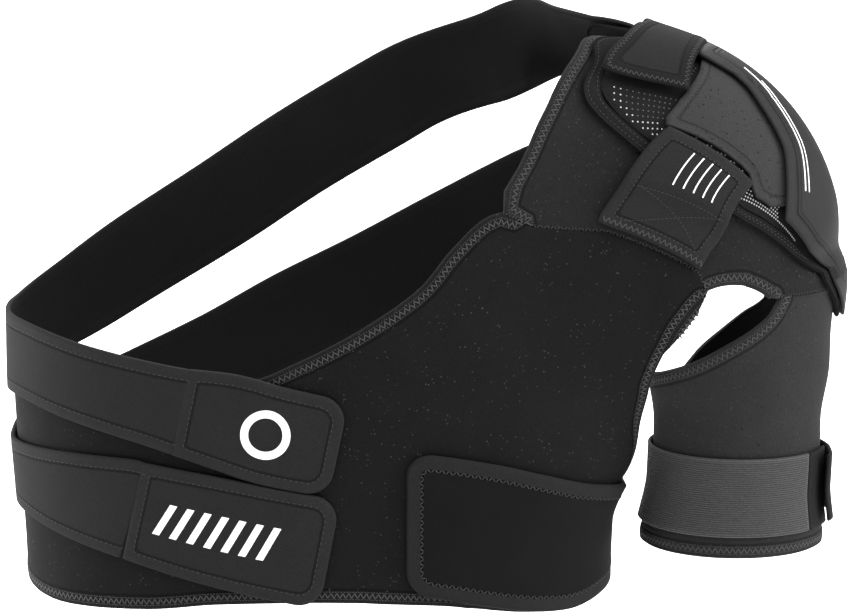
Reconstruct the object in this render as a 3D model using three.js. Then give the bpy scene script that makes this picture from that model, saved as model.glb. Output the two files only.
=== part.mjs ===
// A neoprene brace for the left shoulder, in the shape that it has when it is worn.
// Millimetres, +Z up, the wearer faces -Y and the wearer's left arm is on the +X side.
// The origin is at the seat: the inside of the brace, on top of the shoulder.
import * as THREE from "three";

// Walls and clearances
const CLOTH = 3; // chest panel, yoke, sleeve and torso band
const STRAP_WALL = 2.8;
const MESH_WALL = 1.6;
const BINDING_WALL = 2.2;
const OVERLAY_WALL = 2;
const SHELL_WALL = 2;
const KEEPER_WALL = 1.8;
const ELASTIC_WALL = 1.8;
const LAYER_GAP = 1.15; // air left between two layers that lie on each other
const SEAM_GAP = 0.8; // air left between two edges that are sewn together

// The torso inside the brace: an upright rounded box, wider at the chest than at the hem
const HEM_HALF_WIDTH = 158;
const CHEST_HALF_WIDTH = 164;
const TORSO_HALF_DEPTH = 92;
const TORSO_ROUNDING = 2.6; // exponent of the section, 2 is an ellipse
const WIDENING_HEIGHT = 120; // height over which the torso widens
const ARMPIT_FULLNESS = 17; // extra width of the braced side below the armpit
const ARMPIT_LOW = 30; // heights between which that width grows
const ARMPIT_HIGH = 85;
const ARMPIT_TOP = 110; // height from which it fades into the shoulder
const TORSO_SIDE_HEIGHT = 230; // above this the torso rounds over towards the neck
const TORSO_DOME = 110;

// The shoulder inside the brace: an ellipsoid beside the torso
const SHOULDER_INSET = 9; // from the side of the chest in to the shoulder's centre
const SHOULDER_HEIGHT = 171;
const SHOULDER_REACH = 125.5; // sideways
const SHOULDER_RISE = 125.5; // upwards
const SHOULDER_DROP = 75; // downwards, where it runs into the arm
const SHOULDER_HALF_DEPTH = 68;
const SHOULDER_ROUNDING = 2.12; // exponent, 2 is an ellipsoid
const CHEST_BLEND = 30; // softness of the crease between torso and shoulder
const ARM_BLEND = 12;
const TORSO_SCALE = 105; // turns the torso's shape value into millimetres from its skin
const SHOULDER_SCALE = 95; // the same for the shoulder

// The upper arm inside the sleeve
const ARM_OUT = 80; // from the shoulder's centre out to the arm's axis
const ARM_RADIUS = 48;
const ARM_SQUEEZE = 4.5; // how far the elastic pulls the sleeve in
const ARM_SPREAD = 0.5; // how much wider the arm is at its top
const ARM_TOP_SLOPE = 1; // how fast it closes inside the shoulder
const ARM_LEAN = 3; // how much closer to the body the arm stands at the hem
const ARM_LEAN_HEIGHT = 80; // height at which it has come out again
const SLEEVE_HEM_HEIGHT = 18;
const SLEEVE_SEAM_HEIGHT = 163;
const UNDERARM_HEIGHT = 110; // lowest point of the sleeve's top edge

// Sizes of the pieces
const CHEST_HEIGHT = 218; // hem to the corner where neck edge and yoke seam meet
const STRAP_WIDTH = 50;
const GRIP_WIDTH = 60; // the free ends of the two straps
const GRIP_CORNER = 13;
const TAB_HEIGHT = 80; // the end of the torso band on the front
const TAB_CORNER = 12;
const ELASTIC_WIDTH = 43;
const ELASTIC_LOW = 29; // height of its lower edge
const HOOK_TAB_WIDTH = 38;
const SEAT_OUTWARD = 16; // from the side of the chest out to the seat

const COLOUR = {
  chest: 0x232324,
  yoke: 0x2b2b2c,
  sleeve: 0x3c3d3f,
  strap: 0x313233,
  binding: 0x3a3a3c,
  mesh: 0x2a2a2b,
  overlay: 0x47484a,
  shell: 0x3c3d3f,
  elastic: 0x4a4a4c,
  hook: 0x1c1c1d,
};

const rad = THREE.MathUtils.degToRad;
const deg = THREE.MathUtils.radToDeg;
const smooth = (x, from, to) => THREE.MathUtils.smoothstep(x, from, to);

const shoulderX = CHEST_HALF_WIDTH - SHOULDER_INSET;
const armX = shoulderX + ARM_OUT;
const fanCentre = new THREE.Vector3(armX - 4, 0, SHOULDER_HEIGHT - 31);

// The wearer's outline as a field that is about the distance from the skin, negative inside.
function torsoField(x, y, z) {
  const fullness = smooth(z, ARMPIT_LOW, ARMPIT_HIGH) * (1 - smooth(z, ARMPIT_TOP, SHOULDER_HEIGHT));
  const armpit = x > 0 ? ARMPIT_FULLNESS * fullness : 0;
  const widening = (CHEST_HALF_WIDTH - HEM_HALF_WIDTH) * smooth(z, 0, WIDENING_HEIGHT);
  const width = HEM_HALF_WIDTH + widening + armpit;
  const across = Math.pow(Math.abs(x / width), TORSO_ROUNDING);
  const through = Math.pow(Math.abs(y / TORSO_HALF_DEPTH), TORSO_ROUNDING);
  const above = Math.pow(Math.max(0, z - TORSO_SIDE_HEIGHT) / TORSO_DOME, TORSO_ROUNDING);
  return (Math.pow(across + through + above, 1 / TORSO_ROUNDING) - 1) * TORSO_SCALE;
}

function shoulderField(x, y, z) {
  const tall = z > SHOULDER_HEIGHT ? SHOULDER_RISE : SHOULDER_DROP;
  const shares = [(x - shoulderX) / SHOULDER_REACH, y / SHOULDER_HALF_DEPTH, (z - SHOULDER_HEIGHT) / tall];
  const sum = shares.reduce((total, part) => total + Math.pow(Math.abs(part), SHOULDER_ROUNDING), 0);
  const share = Math.pow(sum, 1 / SHOULDER_ROUNDING);
  return (share - 1) * SHOULDER_SCALE;
}

function armRadius(z) {
  const top = ELASTIC_LOW + ELASTIC_WIDTH;
  const squeeze = smooth(z, ELASTIC_LOW - 11, ELASTIC_LOW + 24) * (1 - smooth(z, top + 13, top + 48));
  return ARM_RADIUS - ARM_SQUEEZE * squeeze + ARM_SPREAD * smooth(z, UNDERARM_HEIGHT, SLEEVE_SEAM_HEIGHT);
}

const armAxis = (z) => armX - ARM_LEAN * (1 - smooth(z, 0, ARM_LEAN_HEIGHT));

function armField(x, y, z) {
  return Math.hypot(x - armAxis(z), y) - armRadius(z) + ARM_TOP_SLOPE * Math.max(0, z - SHOULDER_HEIGHT);
}

function softJoin(a, b, softness) {
  const share = THREE.MathUtils.clamp(0.5 + (0.5 * (b - a)) / softness, 0, 1);
  return b * (1 - share) + a * share - softness * share * (1 - share);
}

function trunkField(x, y, z) {
  return softJoin(torsoField(x, y, z), shoulderField(x, y, z), CHEST_BLEND);
}

function bodyField(x, y, z) {
  return softJoin(trunkField(x, y, z), armField(x, y, z), ARM_BLEND);
}

function outwards(point, field) {
  const h = 0.05;
  const { x, y, z } = point;
  return new THREE.Vector3(
    field(x + h, y, z) - field(x - h, y, z),
    field(x, y + h, z) - field(x, y - h, z),
    field(x, y, z + h) - field(x, y, z - h),
  ).normalize();
}

// A spot on the skin: the point and the direction away from the body.
function spotAlong(from, direction, field = bodyField) {
  let near = 0;
  let far = 260;
  for (let step = 0; step < 40; step++) {
    const middle = (near + far) / 2;
    const p = from.clone().addScaledVector(direction, middle);
    if (field(p.x, p.y, p.z) < 0) near = middle;
    else far = middle;
  }
  const point = from.clone().addScaledVector(direction, near);
  return { point, normal: outwards(point, field) };
}

function spotNear(guess) {
  const point = guess.clone();
  for (let step = 0; step < 12; step++) {
    point.addScaledVector(outwards(point, trunkField), -trunkField(point.x, point.y, point.z) * 0.8);
  }
  return { point, normal: outwards(point, trunkField) };
}

// Round the torso: 0 degrees is the middle of the front, positive towards the braced arm.
function spotRound(angle, z) {
  const direction = new THREE.Vector3(Math.sin(rad(angle)), -Math.cos(rad(angle)), 0);
  return spotAlong(new THREE.Vector3(0, 0, z), direction, trunkField);
}

// On the shoulder: psi tips from straight up towards the outside of the arm, phi towards the front.
function spotOnShoulder(psi, phi) {
  const direction = new THREE.Vector3(
    Math.cos(rad(phi)) * Math.sin(rad(psi)),
    -Math.sin(rad(phi)),
    Math.cos(rad(phi)) * Math.cos(rad(psi)),
  );
  return spotAlong(fanCentre, direction);
}

// Round the arm: 0 degrees is the outside of the arm, -90 its front and 180 the armpit side.
function spotOnArm(angle, z) {
  const axis = new THREE.Vector3(armAxis(z), 0, z);
  const direction = new THREE.Vector3(Math.cos(rad(angle)), Math.sin(rad(angle)), 0);
  const plain = spotAlong(axis, direction, armField);
  const share = 1 - smooth(Math.abs(angle), 75, 110);
  if (share === 0) return plain;
  const joined = spotAlong(axis, direction);
  const point = plain.point.lerp(joined.point, share);
  return { point, normal: plain.normal.lerp(joined.normal, share).normalize() };
}

// Reads a table whose rows are sorted by their first column.
function reader(columns, rows) {
  return (column, at) => {
    const c = columns.indexOf(column);
    const last = rows.length - 1;
    if (at <= rows[0][0]) return rows[0][c];
    if (at >= rows[last][0]) return rows[last][c];
    const i = rows.findIndex((row) => row[0] >= at);
    const share = (at - rows[i - 1][0]) / (rows[i][0] - rows[i - 1][0]);
    return THREE.MathUtils.lerp(rows[i - 1][c], rows[i][c], share);
  };
}

const steps = (count) => Array.from({ length: count + 1 }, (_, i) => i / count);

// A wall between two heights above the skin. spots is a grid of rows, all of one length.
function wall(name, colour, spots, low, high, closed = false) {
  const rows = spots.length;
  const columns = spots[0].length;
  const corners = [];
  for (const lift of [low, high]) {
    spots.forEach((row, i) =>
      row.forEach((spot) => {
        const share = spot.along ?? i / (rows - 1);
        const height = typeof lift === "function" ? lift(share, spot) : lift;
        corners.push(spot.point.clone().addScaledVector(spot.normal, height));
      }),
    );
  }
  const at = (side, i, j) => side * rows * columns + (i % rows) * columns + j;
  const faces = [];
  const quad = (a, b, c, d) => faces.push(a, b, c, a, c, d);
  const lastRow = closed ? rows : rows - 1;
  for (let i = 0; i < lastRow; i++) {
    for (let j = 0; j + 1 < columns; j++) {
      quad(at(0, i, j), at(0, i, j + 1), at(0, i + 1, j + 1), at(0, i + 1, j));
      quad(at(1, i, j), at(1, i + 1, j), at(1, i + 1, j + 1), at(1, i, j + 1));
    }
    quad(at(0, i, 0), at(0, i + 1, 0), at(1, i + 1, 0), at(1, i, 0));
    quad(at(0, i + 1, columns - 1), at(0, i, columns - 1), at(1, i, columns - 1), at(1, i + 1, columns - 1));
  }
  if (!closed) {
    for (let j = 0; j + 1 < columns; j++) {
      quad(at(0, 0, j + 1), at(0, 0, j), at(1, 0, j), at(1, 0, j + 1));
      quad(at(0, rows - 1, j), at(0, rows - 1, j + 1), at(1, rows - 1, j + 1), at(1, rows - 1, j));
    }
  }
  return solid(name, colour, corners, faces);
}

function solid(name, colour, corners, faces) {
  let volume = 0;
  for (let i = 0; i < faces.length; i += 3) {
    const [a, b, c] = [corners[faces[i]], corners[faces[i + 1]], corners[faces[i + 2]]];
    volume += a.dot(new THREE.Vector3().crossVectors(b, c));
  }
  if (volume < 0) faces.reverse();
  const geometry = new THREE.BufferGeometry().setFromPoints(corners);
  geometry.setIndex(faces);
  geometry.computeVertexNormals();
  const look = new THREE.MeshStandardMaterial({ color: colour, roughness: 0.9, metalness: 0 });
  const mesh = new THREE.Mesh(geometry, look);
  mesh.name = name;
  return mesh;
}

// Heights of the layers above the skin
const onCloth = CLOTH + LAYER_GAP;
const onMesh = onCloth + MESH_WALL + LAYER_GAP;
const onBinding = onCloth + BINDING_WALL + LAYER_GAP;
const onOverlay = onMesh + OVERLAY_WALL + 1.4 * LAYER_GAP;
const onStrapEnd = onBinding + STRAP_WALL + LAYER_GAP;

// Yoke seam on the chest, from the neck corner to the front of the armhole
const yokeSeam = [
  { psi: -59.8, phi: 28.4 },
  { psi: -59.2, phi: 30.2 },
  { psi: -55.6, phi: 32.2 },
  { psi: -49.2, phi: 35.4 },
  { psi: -44.4, phi: 40.3 },
  { psi: -38.4, phi: 46.2 },
  { psi: -30.5, phi: 53.9 },
  { psi: -32, phi: 60.5 },
];

// Edges of the yoke on the neck side, as phi and psi, at the front and at the back
const yokeNeckFront = [
  [0, -18],
  [4.2, -20.8],
  [8.9, -27.1],
  [12.9, -29.5],
  [16, -32],
  [21.3, -38.2],
  [24.9, -45.4],
  [26.8, -51.8],
];
const yokeNeckBack = [
  [0, -18],
  [8.9, -22],
  [16, -29],
  [21.3, -35],
  [24.9, -41.5],
  [28.4, -48.5],
  [32.2, -49],
  [35.4, -46.5],
  [40.3, -41],
  [46.2, -34],
  [53.9, -27],
  [60.5, -25],
];
const seamEdge = yokeSeam.map(({ psi, phi }) => [phi, psi]);
const yokeEdgeFront = reader(["phi", "psi"], [...yokeNeckFront, ...seamEdge]);
const yokeEdgeBack = reader(["phi", "psi"], yokeNeckBack);
const yokeRows = [4.2, 8.9, 12.9, 16, 18.7, 21.3, 24.9, 26.8, 28.4, 30.2, 32.2, 35.4, 37.9, 40.3, 43.3, 46.2, 50, 53.9, 57.2, 60.5];

// The tip angle at which the yoke's outer side meets the top of the sleeve.
function sleeveSeamPsi(phi) {
  let near = 0;
  let far = 90;
  for (let step = 0; step < 30; step++) {
    const middle = (near + far) / 2;
    if (spotOnShoulder(middle, phi).point.z > SLEEVE_SEAM_HEIGHT + SEAM_GAP) near = middle;
    else far = middle;
  }
  return near;
}

function makeYoke() {
  const angles = [...yokeRows.map((phi) => -phi).reverse(), 0, ...yokeRows];
  const rows = angles.map((phi) => {
    const edge = phi < 0 ? yokeEdgeBack : yokeEdgeFront;
    const left = edge("psi", Math.abs(phi));
    const right = sleeveSeamPsi(phi);
    return steps(11).map((t) => spotOnShoulder(THREE.MathUtils.lerp(left, right, t ** 1.15), phi));
  });
  return wall("shoulder_yoke", COLOUR.yoke, rows, 0, CLOTH);
}

// Chest panel. Each row is one thread of the cloth from the hem to the upper edge, with the hem's
// angle and rise and the upper edge's angle and height. Heights are shares of CHEST_HEIGHT.
const chestColumns = ["hemAngle", "hemRise", "topAngle", "top"];
const chestRows = [
  [-87, 0.016, -87, 0.52],
  [-66, -0.016, -64, 0.52],
  [-47, -0.007, -46, 0.54],
  [-30, 0.012, -19, 0.572],
  [-15, 0.017, -4.6, 0.617],
  [2, 0.019, 13.2, 0.685],
  [15, 0.018, 27.4, 0.76],
  [22, 0.015, 33.9, 0.809],
  [36, 0.008, 42, 0.908],
];
const chestSeamRows = [
  [42, 0.002],
  [44, -0.002],
  [47, -0.006],
  [51, -0.014],
  [55, -0.022],
  [59, -0.028],
  [64, -0.035],
  [67, -0.037],
];
const chestSideRows = [
  [69, -0.037, 73, 0.735],
  [72, -0.036, 72.4, 0.675],
  [75, -0.032, 72.6, 0.62],
  [78, -0.024, 73.5, 0.55],
  [80, -0.016, 75.5, 0.49],
  [83, -0.008, 79, 0.405],
  [87, 0.002, 83, 0.31],
  [91, 0.01, 91.5, 0.25],
];

function makeChestPanel() {
  const seam = yokeSeam.map(({ psi, phi }, i) => {
    const { point } = spotOnShoulder(psi, phi);
    const [hemAngle, hemRise] = chestSeamRows[i];
    return [hemAngle, hemRise, deg(Math.atan2(point.x, -point.y)), (point.z - SEAM_GAP) / CHEST_HEIGHT];
  });
  // How far the yoke's skin stands out from the trunk at each thread of the seam
  const standOut = new Map(
    yokeSeam.map(({ psi, phi }, i) => {
      const { point } = spotOnShoulder(psi, phi);
      const [hemAngle, , topAngle] = seam[i];
      return [hemAngle, point.clone().sub(spotRound(topAngle, point.z).point)];
    }),
  );
  const read = reader(chestColumns, [...chestRows, ...seam, ...chestSideRows]);
  const threads = [-87, -80, -73, -66, -60, -54, -47, -41, -35, -30, -22, -15, -6, 2, 9, 15, 22, 29, 36]
    .concat(seam.map((row) => row[0]))
    .concat(chestSideRows.map((row) => row[0]));
  const rows = threads.map((hemAngle) => {
    const topAngle = read("topAngle", hemAngle);
    return steps(12).map((t) => {
      const share = THREE.MathUtils.lerp(read("hemRise", hemAngle), read("top", hemAngle), t);
      const spot = spotRound(THREE.MathUtils.lerp(hemAngle, topAngle, t), share * CHEST_HEIGHT);
      const step = standOut.get(hemAngle);
      if (step) spot.point.addScaledVector(step, smooth(t, 0.6, 1));
      return spot;
    });
  });
  return wall("chest_panel", COLOUR.chest, rows, 0, CLOTH);
}

const between = (spot, other, share) => ({
  point: spot.point.clone().lerp(other.point, share),
  normal: spot.normal.clone().lerp(other.normal, share).normalize(),
});

// Straps follow a line on the skin. A row gives a spot of that line and the width there. Where a row is
// loose the strap stands off the skin and lies straight across.
function ribbon(line, across, stations, corner = 0) {
  const curve = new THREE.CatmullRomCurve3(
    line.map((row) => row.spot.point),
    false,
    "centripetal",
  );
  const widths = new THREE.SplineCurve(line.map((row, i) => new THREE.Vector2(i, row.width)));
  const normals = new THREE.CatmullRomCurve3(line.map((row) => row.spot.normal));
  const length = curve.getLength();
  return stations.map((station) => {
    const s = THREE.MathUtils.clamp(station, 0, 1);
    const t = curve.getUtoTmapping(s);
    const at = t * (line.length - 1);
    const before = Math.min(Math.floor(at), line.length - 2);
    const loose = THREE.MathUtils.lerp(line[before].loose ?? 0, line[before + 1].loose ?? 0, at - before);
    const free = { point: curve.getPoint(t), normal: normals.getPoint(t).normalize() };
    const centre = between(spotNear(free.point), free, loose);
    const along = curve.getTangent(t);
    const side = new THREE.Vector3().crossVectors(along, centre.normal).normalize();
    const left = (1 - s) * length;
    const cut = left < corner ? corner - Math.sqrt(corner ** 2 - (corner - left) ** 2) : 0;
    const half = widths.getPoint(t).y / 2 - cut;
    return steps(across).map((v) => {
      const point = centre.point.clone().addScaledVector(side, half * (2 * v - 1));
      const spot = between(spotNear(point), { point, normal: centre.normal }, loose);
      return { ...spot, along: s };
    });
  });
}

const lineRound = (rows, tall, wide) =>
  rows.map(([angle, z, width]) => ({ spot: spotRound(angle, z * tall), width: width * wide }));

// Upper strap, from the top of the shoulder across the back and round the far side.
// Columns of the first table: psi, phi and the share of STRAP_WIDTH.
const upperStrapOverShoulder = [
  [-20, 12, 0.7],
  [-15.3, 3, 0.6],
  [-15.5, -6, 0.62],
  [-19, -12.5, 0.74],
];
// Behind the shoulder the strap stands off the skin and turns from flat to upright. Columns: shares of
// CHEST_HALF_WIDTH, TORSO_HALF_DEPTH and CHEST_HEIGHT, tilt from flat, share of STRAP_WIDTH.
const upperStrapBehind = [
  [0.975, 0.48, 1.329, 28, 0.83],
  [0.86, 0.61, 1.317, 43, 0.96],
  [0.78, 0.725, 1.317, 62, 1],
  [0.69, 0.8, 1.307, 88, 1],
  [0.585, 0.85, 1.27, 90, 1],
];
// Columns: angle round the torso, height as a share of CHEST_HEIGHT, share of STRAP_WIDTH.
const upperStrapRound = [
  [146, 1.203, 1],
  [160, 1.135, 1.02],
  [187.5, 1.01, 1.02],
  [212, 0.875, 1.02],
  [232, 0.742, 1],
  [245, 0.645, 0.96],
  [258, 0.592, 0.9],
  [272, 0.592, 0.86],
  [287, 0.59, 0.84],
  [301, 0.553, 0.84],
  [314, 0.518, 0.88],
  [322, 0.498, 0.93],
];
// Columns: angle, share of CHEST_HEIGHT, share of GRIP_WIDTH.
const upperGripRound = [
  [322, 0.498, 0.78],
  [334, 0.474, 0.87],
  [348, 0.44, 0.89],
  [368.6, 0.408, 0.87],
];
const lowerStrapRound = [
  [113, 0.985, 0.96],
  [121, 0.925, 1],
  [137, 0.806, 1.04],
  [160, 0.68, 1.08],
  [187.5, 0.575, 1.08],
  [212, 0.468, 1.04],
  [232, 0.378, 0.98],
  [245, 0.334, 0.88],
  [258, 0.3, 0.76],
  [272, 0.287, 0.7],
  [285, 0.284, 0.77],
  [297, 0.268, 0.93],
  [309, 0.248, 1.08],
  [311, 0.243, 1.08],
];
const lowerGripRound = [
  [311, 0.243, 0.9],
  [328, 0.203, 0.97],
  [345, 0.172, 0.99],
  [365.6, 0.142, 1],
];

const JOINT_STATION = 0.9992; // where a strap stops short of its free end, which is a piece of its own
const gripStations = [0.006, 0.12, 0.24, 0.36, 0.48, 0.6, 0.72, 0.83, 0.91, 0.955, 0.985, 1];

function looseRow([x, y, z, tilt, width]) {
  const point = new THREE.Vector3(x * CHEST_HALF_WIDTH, y * TORSO_HALF_DEPTH, z * CHEST_HEIGHT);
  const away = outwards(new THREE.Vector3(point.x, point.y, TORSO_SIDE_HEIGHT), torsoField);
  const normal = away.multiplyScalar(Math.sin(rad(tilt))).add(new THREE.Vector3(0, 0, Math.cos(rad(tilt))));
  return { spot: { point, normal: normal.normalize() }, width: width * STRAP_WIDTH, loose: 1 };
}

function makeUpperStrap() {
  const line = upperStrapOverShoulder
    .map(([psi, phi, width]) => ({ spot: spotOnShoulder(psi, phi), width: width * STRAP_WIDTH }))
    .concat(upperStrapBehind.map(looseRow))
    .concat(lineRound(upperStrapRound, CHEST_HEIGHT, STRAP_WIDTH));
  const lift = (s) => THREE.MathUtils.lerp(onBinding, onCloth, smooth(s, 0.17, 0.23));
  const overShoulder = steps(15).map((s) => s * 0.2);
  const roundTorso = steps(30).slice(1, -1).map((s) => 0.2 + 0.8 * s);
  const rows = ribbon(line, 4, [...overShoulder, ...roundTorso, JOINT_STATION]);
  return wall("upper_strap", COLOUR.strap, rows, lift, (s) => lift(s) + STRAP_WALL);
}

function makeUpperGrip() {
  const rows = ribbon(lineRound(upperGripRound, CHEST_HEIGHT, GRIP_WIDTH), 4, gripStations, GRIP_CORNER);
  return wall("upper_strap_end", COLOUR.strap, rows, onCloth, onCloth + STRAP_WALL);
}

function makeLowerStrap() {
  const line = lineRound(lowerStrapRound, CHEST_HEIGHT, STRAP_WIDTH);
  const rows = ribbon(line, 4, [...steps(36).slice(0, -1), JOINT_STATION]);
  return wall("lower_strap", COLOUR.strap, rows, onCloth, onCloth + STRAP_WALL);
}

function makeLowerGrip() {
  const rows = ribbon(lineRound(lowerGripRound, CHEST_HEIGHT, GRIP_WIDTH), 4, gripStations, GRIP_CORNER);
  return wall("lower_strap_end", COLOUR.strap, rows, onCloth, onCloth + STRAP_WALL);
}

// Torso band round the back, from the panel's far edge to the side under the arm, then its tab
// that closes over the front.
// Columns: angle, lower and upper edge as shares of TAB_HEIGHT.
const bandRound = [
  [271.6, 0.045, 1.4],
  [262, 0.05, 1.26],
  [250, 0.04, 1.14],
  [220, 0.02, 1.04],
  [180, 0.02, 0.92],
  [140, 0.02, 0.78],
  [112, 0.02, 0.68],
  [99, 0.02, 0.64],
];
const tabRound = [
  [98.4, 0.02, 0.64],
  [88, -0.01, 0.66],
  [77, -0.045, 0.73],
  [66.7, -0.085, 0.8],
  [58.6, -0.06, 0.885],
  [49.5, 0, 0.975],
  [39, 0.07, 1.04],
  [29.7, 0.11, 1.075],
];

// An upright band round the torso, with the corners at its last end rounded.
function uprightBand(table, stations, across, corner = 0) {
  const read = reader(["turn", "low", "high"], table.map(([angle, low, high]) => [-angle, low, high]));
  const [first, last] = [table[0][0], table[table.length - 1][0]];
  return stations.map((s) => {
    const angle = THREE.MathUtils.lerp(first, last, s);
    const low = TAB_HEIGHT * read("low", -angle);
    const high = TAB_HEIGHT * read("high", -angle);
    const left = rad(Math.abs(last - angle)) * spotRound(angle, low).point.length();
    const cut = left < corner ? corner - Math.sqrt(corner ** 2 - (corner - left) ** 2) : 0;
    return steps(across).map((t) => spotRound(angle, THREE.MathUtils.lerp(low + cut, high - cut, t)));
  });
}

function makeTorsoBand() {
  const rows = uprightBand(bandRound, steps(22), 3);
  const lift = (s) => onCloth * smooth(s, 0.86, 0.95);
  return wall("torso_band", COLOUR.chest, rows, lift, (s) => lift(s) + CLOTH);
}

function makeSideTab() {
  const stations = [0, 0.09, 0.18, 0.27, 0.36, 0.45, 0.54, 0.63, 0.72, 0.8, 0.86, 0.905, 0.94, 0.965, 0.985, 1];
  const rows = uprightBand(tabRound, stations, 6, TAB_CORNER);
  return wall("side_tab", COLOUR.strap, rows, onCloth, onCloth + CLOTH);
}

// Top edge of the sleeve, at the front and at the back. The share runs from the underarm's height
// to the seam's.
const sleeveTopColumns = ["turn", "share"];
const sleeveTopFront = reader(sleeveTopColumns, [
  [0, 1],
  [69.5, 1],
  [73.3, 0.86],
  [84.5, 0.68],
  [99, 0.51],
  [115, 0.345],
  [129, 0.235],
  [148, 0.13],
  [180, 0],
]);
const sleeveTopBack = reader(sleeveTopColumns, [
  [0, 1],
  [62, 1],
  [69, 0.66],
  [82, 0.5],
  [97, 0.3],
  [112, 0.11],
  [122, -0.03],
  [131, -0.12],
  [152, -0.06],
  [180, 0],
]);

function makeSleeve() {
  const turns = steps(28).slice(0, -1);
  const rows = turns.map((s) => {
    const angle = 360 * s - 180;
    const edge = angle < 0 ? sleeveTopFront : sleeveTopBack;
    const top = THREE.MathUtils.lerp(UNDERARM_HEIGHT, SLEEVE_SEAM_HEIGHT, edge("share", Math.abs(angle)));
    return steps(6).map((t) => spotOnArm(angle, THREE.MathUtils.lerp(SLEEVE_HEM_HEIGHT, top, t)));
  });
  return wall("arm_sleeve", COLOUR.sleeve, rows, 0, CLOTH, true);
}

// A patch round the arm between two angles, over the elastic's height or part of it.
function armPatch(name, colour, from, to, count, width, low, thick) {
  const middle = ELASTIC_LOW + ELASTIC_WIDTH / 2;
  const rows = steps(count).map((s) => {
    const angle = THREE.MathUtils.lerp(from, to, s);
    const wrapped = angle < -180 ? angle + 360 : angle;
    return steps(2).map((t) => spotOnArm(wrapped, middle + width * (t - 0.5)));
  });
  return wall(name, colour, rows, low, typeof low === "function" ? (s) => low(s) + thick : low + thick);
}

// Rows of a patch on the shoulder: each row of its table, and even steps between them. A table that
// starts at 0 is the front half of a patch that is the same at the back.
const edgeColumns = ["phi", "left", "right"];
const ROW_STEP = 3.7;
const isMirrored = (table) => table[0][0] === 0;
function rowAngles(table) {
  const own = table.map((row) => row[0]);
  const front = own.flatMap((phi, i) => {
    if (i === 0) return [phi];
    const count = Math.max(1, Math.round((phi - own[i - 1]) / ROW_STEP));
    return steps(count).slice(1).map((s) => THREE.MathUtils.lerp(own[i - 1], phi, s));
  });
  return isMirrored(table) ? [...front.slice(1).map((phi) => -phi).reverse(), ...front] : front;
}

// A patch on the shoulder between a left and a right edge, read row by row from the front's table.
function shoulderPatch(name, colour, table, count, low, thick) {
  const read = reader(edgeColumns, table);
  const rows = rowAngles(table).map((phi) => {
    const row = isMirrored(table) ? Math.abs(phi) : phi;
    const [left, right] = [read("left", row), read("right", row)];
    return steps(count).map((t) => {
      const psi = THREE.MathUtils.lerp(left, right, t);
      return { ...spotOnShoulder(psi, phi), psi };
    });
  });
  const lift = typeof low === "function" ? low : () => low;
  return wall(name, colour, rows, lift, (share, spot) => lift(share, spot) + thick);
}

// Pad of spacer mesh on the shoulder, inside its binding
const meshTable = [
  [0, -14.5, 79],
  [4.2, -16.6, 78.6],
  [8.9, -20.9, 76.3],
  [14.5, -27, 72],
  [18.6, -29.8, 68],
  [20.5, -29.2, 65],
  [22.7, -27, 61],
  [25, -24, 56.5],
  [28.5, -17.5, 48.5],
  [32, -10.5, 36.5],
  [34, -4.5, 26],
  [35.6, 0, 13],
];
// The same edge, pushed out by the width of the binding
const bindingTable = [
  [0, -17, 85],
  [5, -19.6, 84.5],
  [9.6, -26.4, 82],
  [14.4, -28.8, 77],
  [19, -32.8, 73],
  [21.2, -33, 70],
  [24.2, -30.2, 66.5],
  [27.6, -26.6, 61],
  [31.5, -20, 52.5],
  [35.4, -11.8, 43.5],
  [37.9, -5, 31],
  [39.2, 4, 18],
];

function makePadBinding() {
  const edge = (table, side) => table.map((row) => [row[side], row[0]]);
  const loop = (table) => {
    const front = [...edge(table, 1), ...edge(table, 2).reverse()];
    const back = front.map(([psi, phi]) => [psi, -phi]).reverse();
    return new THREE.CatmullRomCurve3(
      [...front.slice(0, -1), ...back.slice(0, -1)].map(([psi, phi]) => new THREE.Vector3(psi, phi, 0)),
      true,
      "centripetal",
    );
  };
  const inner = loop(meshTable);
  const outer = loop(bindingTable);
  const count = 56;
  const rows = steps(count)
    .slice(0, -1)
    .map((s) => {
      const a = inner.getPoint(s);
      const b = outer.getPoint(s);
      return [0.14, 0.57, 1].map((t) =>
        spotOnShoulder(THREE.MathUtils.lerp(a.x, b.x, t), THREE.MathUtils.lerp(a.y, b.y, t)),
      );
    });
  return wall("pad_binding", COLOUR.binding, rows, onCloth, onCloth + BINDING_WALL, true);
}

// Dotted overlay of the cap, between the keeper and the shell
const overlayTable = [
  [0, -5.5, 29],
  [6, -8.5, 28],
  [10.4, -9.6, 27],
  [14, -11.8, 25.5],
  [18.8, -16.5, 23],
  [22, -20, 20.6],
  [23.4, -12.8, 19.6],
  [25.3, -5.5, 18.4],
  [27.6, 1.3, 17],
  [29.5, 2, 14.5],
  [31.7, 4.2, 10.5],
];

// Shell over the outside of the shoulder
const shellTable = [
  [0, -7.5, 84],
  [3, -8.5, 83.5],
  [7.2, -9.8, 82],
  [8.4, -3, 81],
  [10, 0.3, 79.5],
  [12, 2.7, 78],
  [15, 7.1, 74.5],
  [17.6, 10.3, 71],
  [22, 12.4, 65],
  [26.3, 14.1, 57],
  [30, 15.4, 47],
  [32.9, 16.4, 34],
];

// The shell lies on the overlay and comes down to the pad beside it.
const underShell = (_, { psi }) => THREE.MathUtils.lerp(onOverlay, onBinding, smooth(psi, 32, 50));

// Keeper that holds the upper strap down on top of the shoulder
const keeperTable = [
  [-9, -19.4, -10.6],
  [-4, -18.7, -9.4],
  [0, -18.3, -8.1],
  [5.2, -20.6, -9.4],
  [10, -23.8, -11.4],
  [13, -26.6, -12.6],
  [16, -29.2, -13.6],
];

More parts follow.
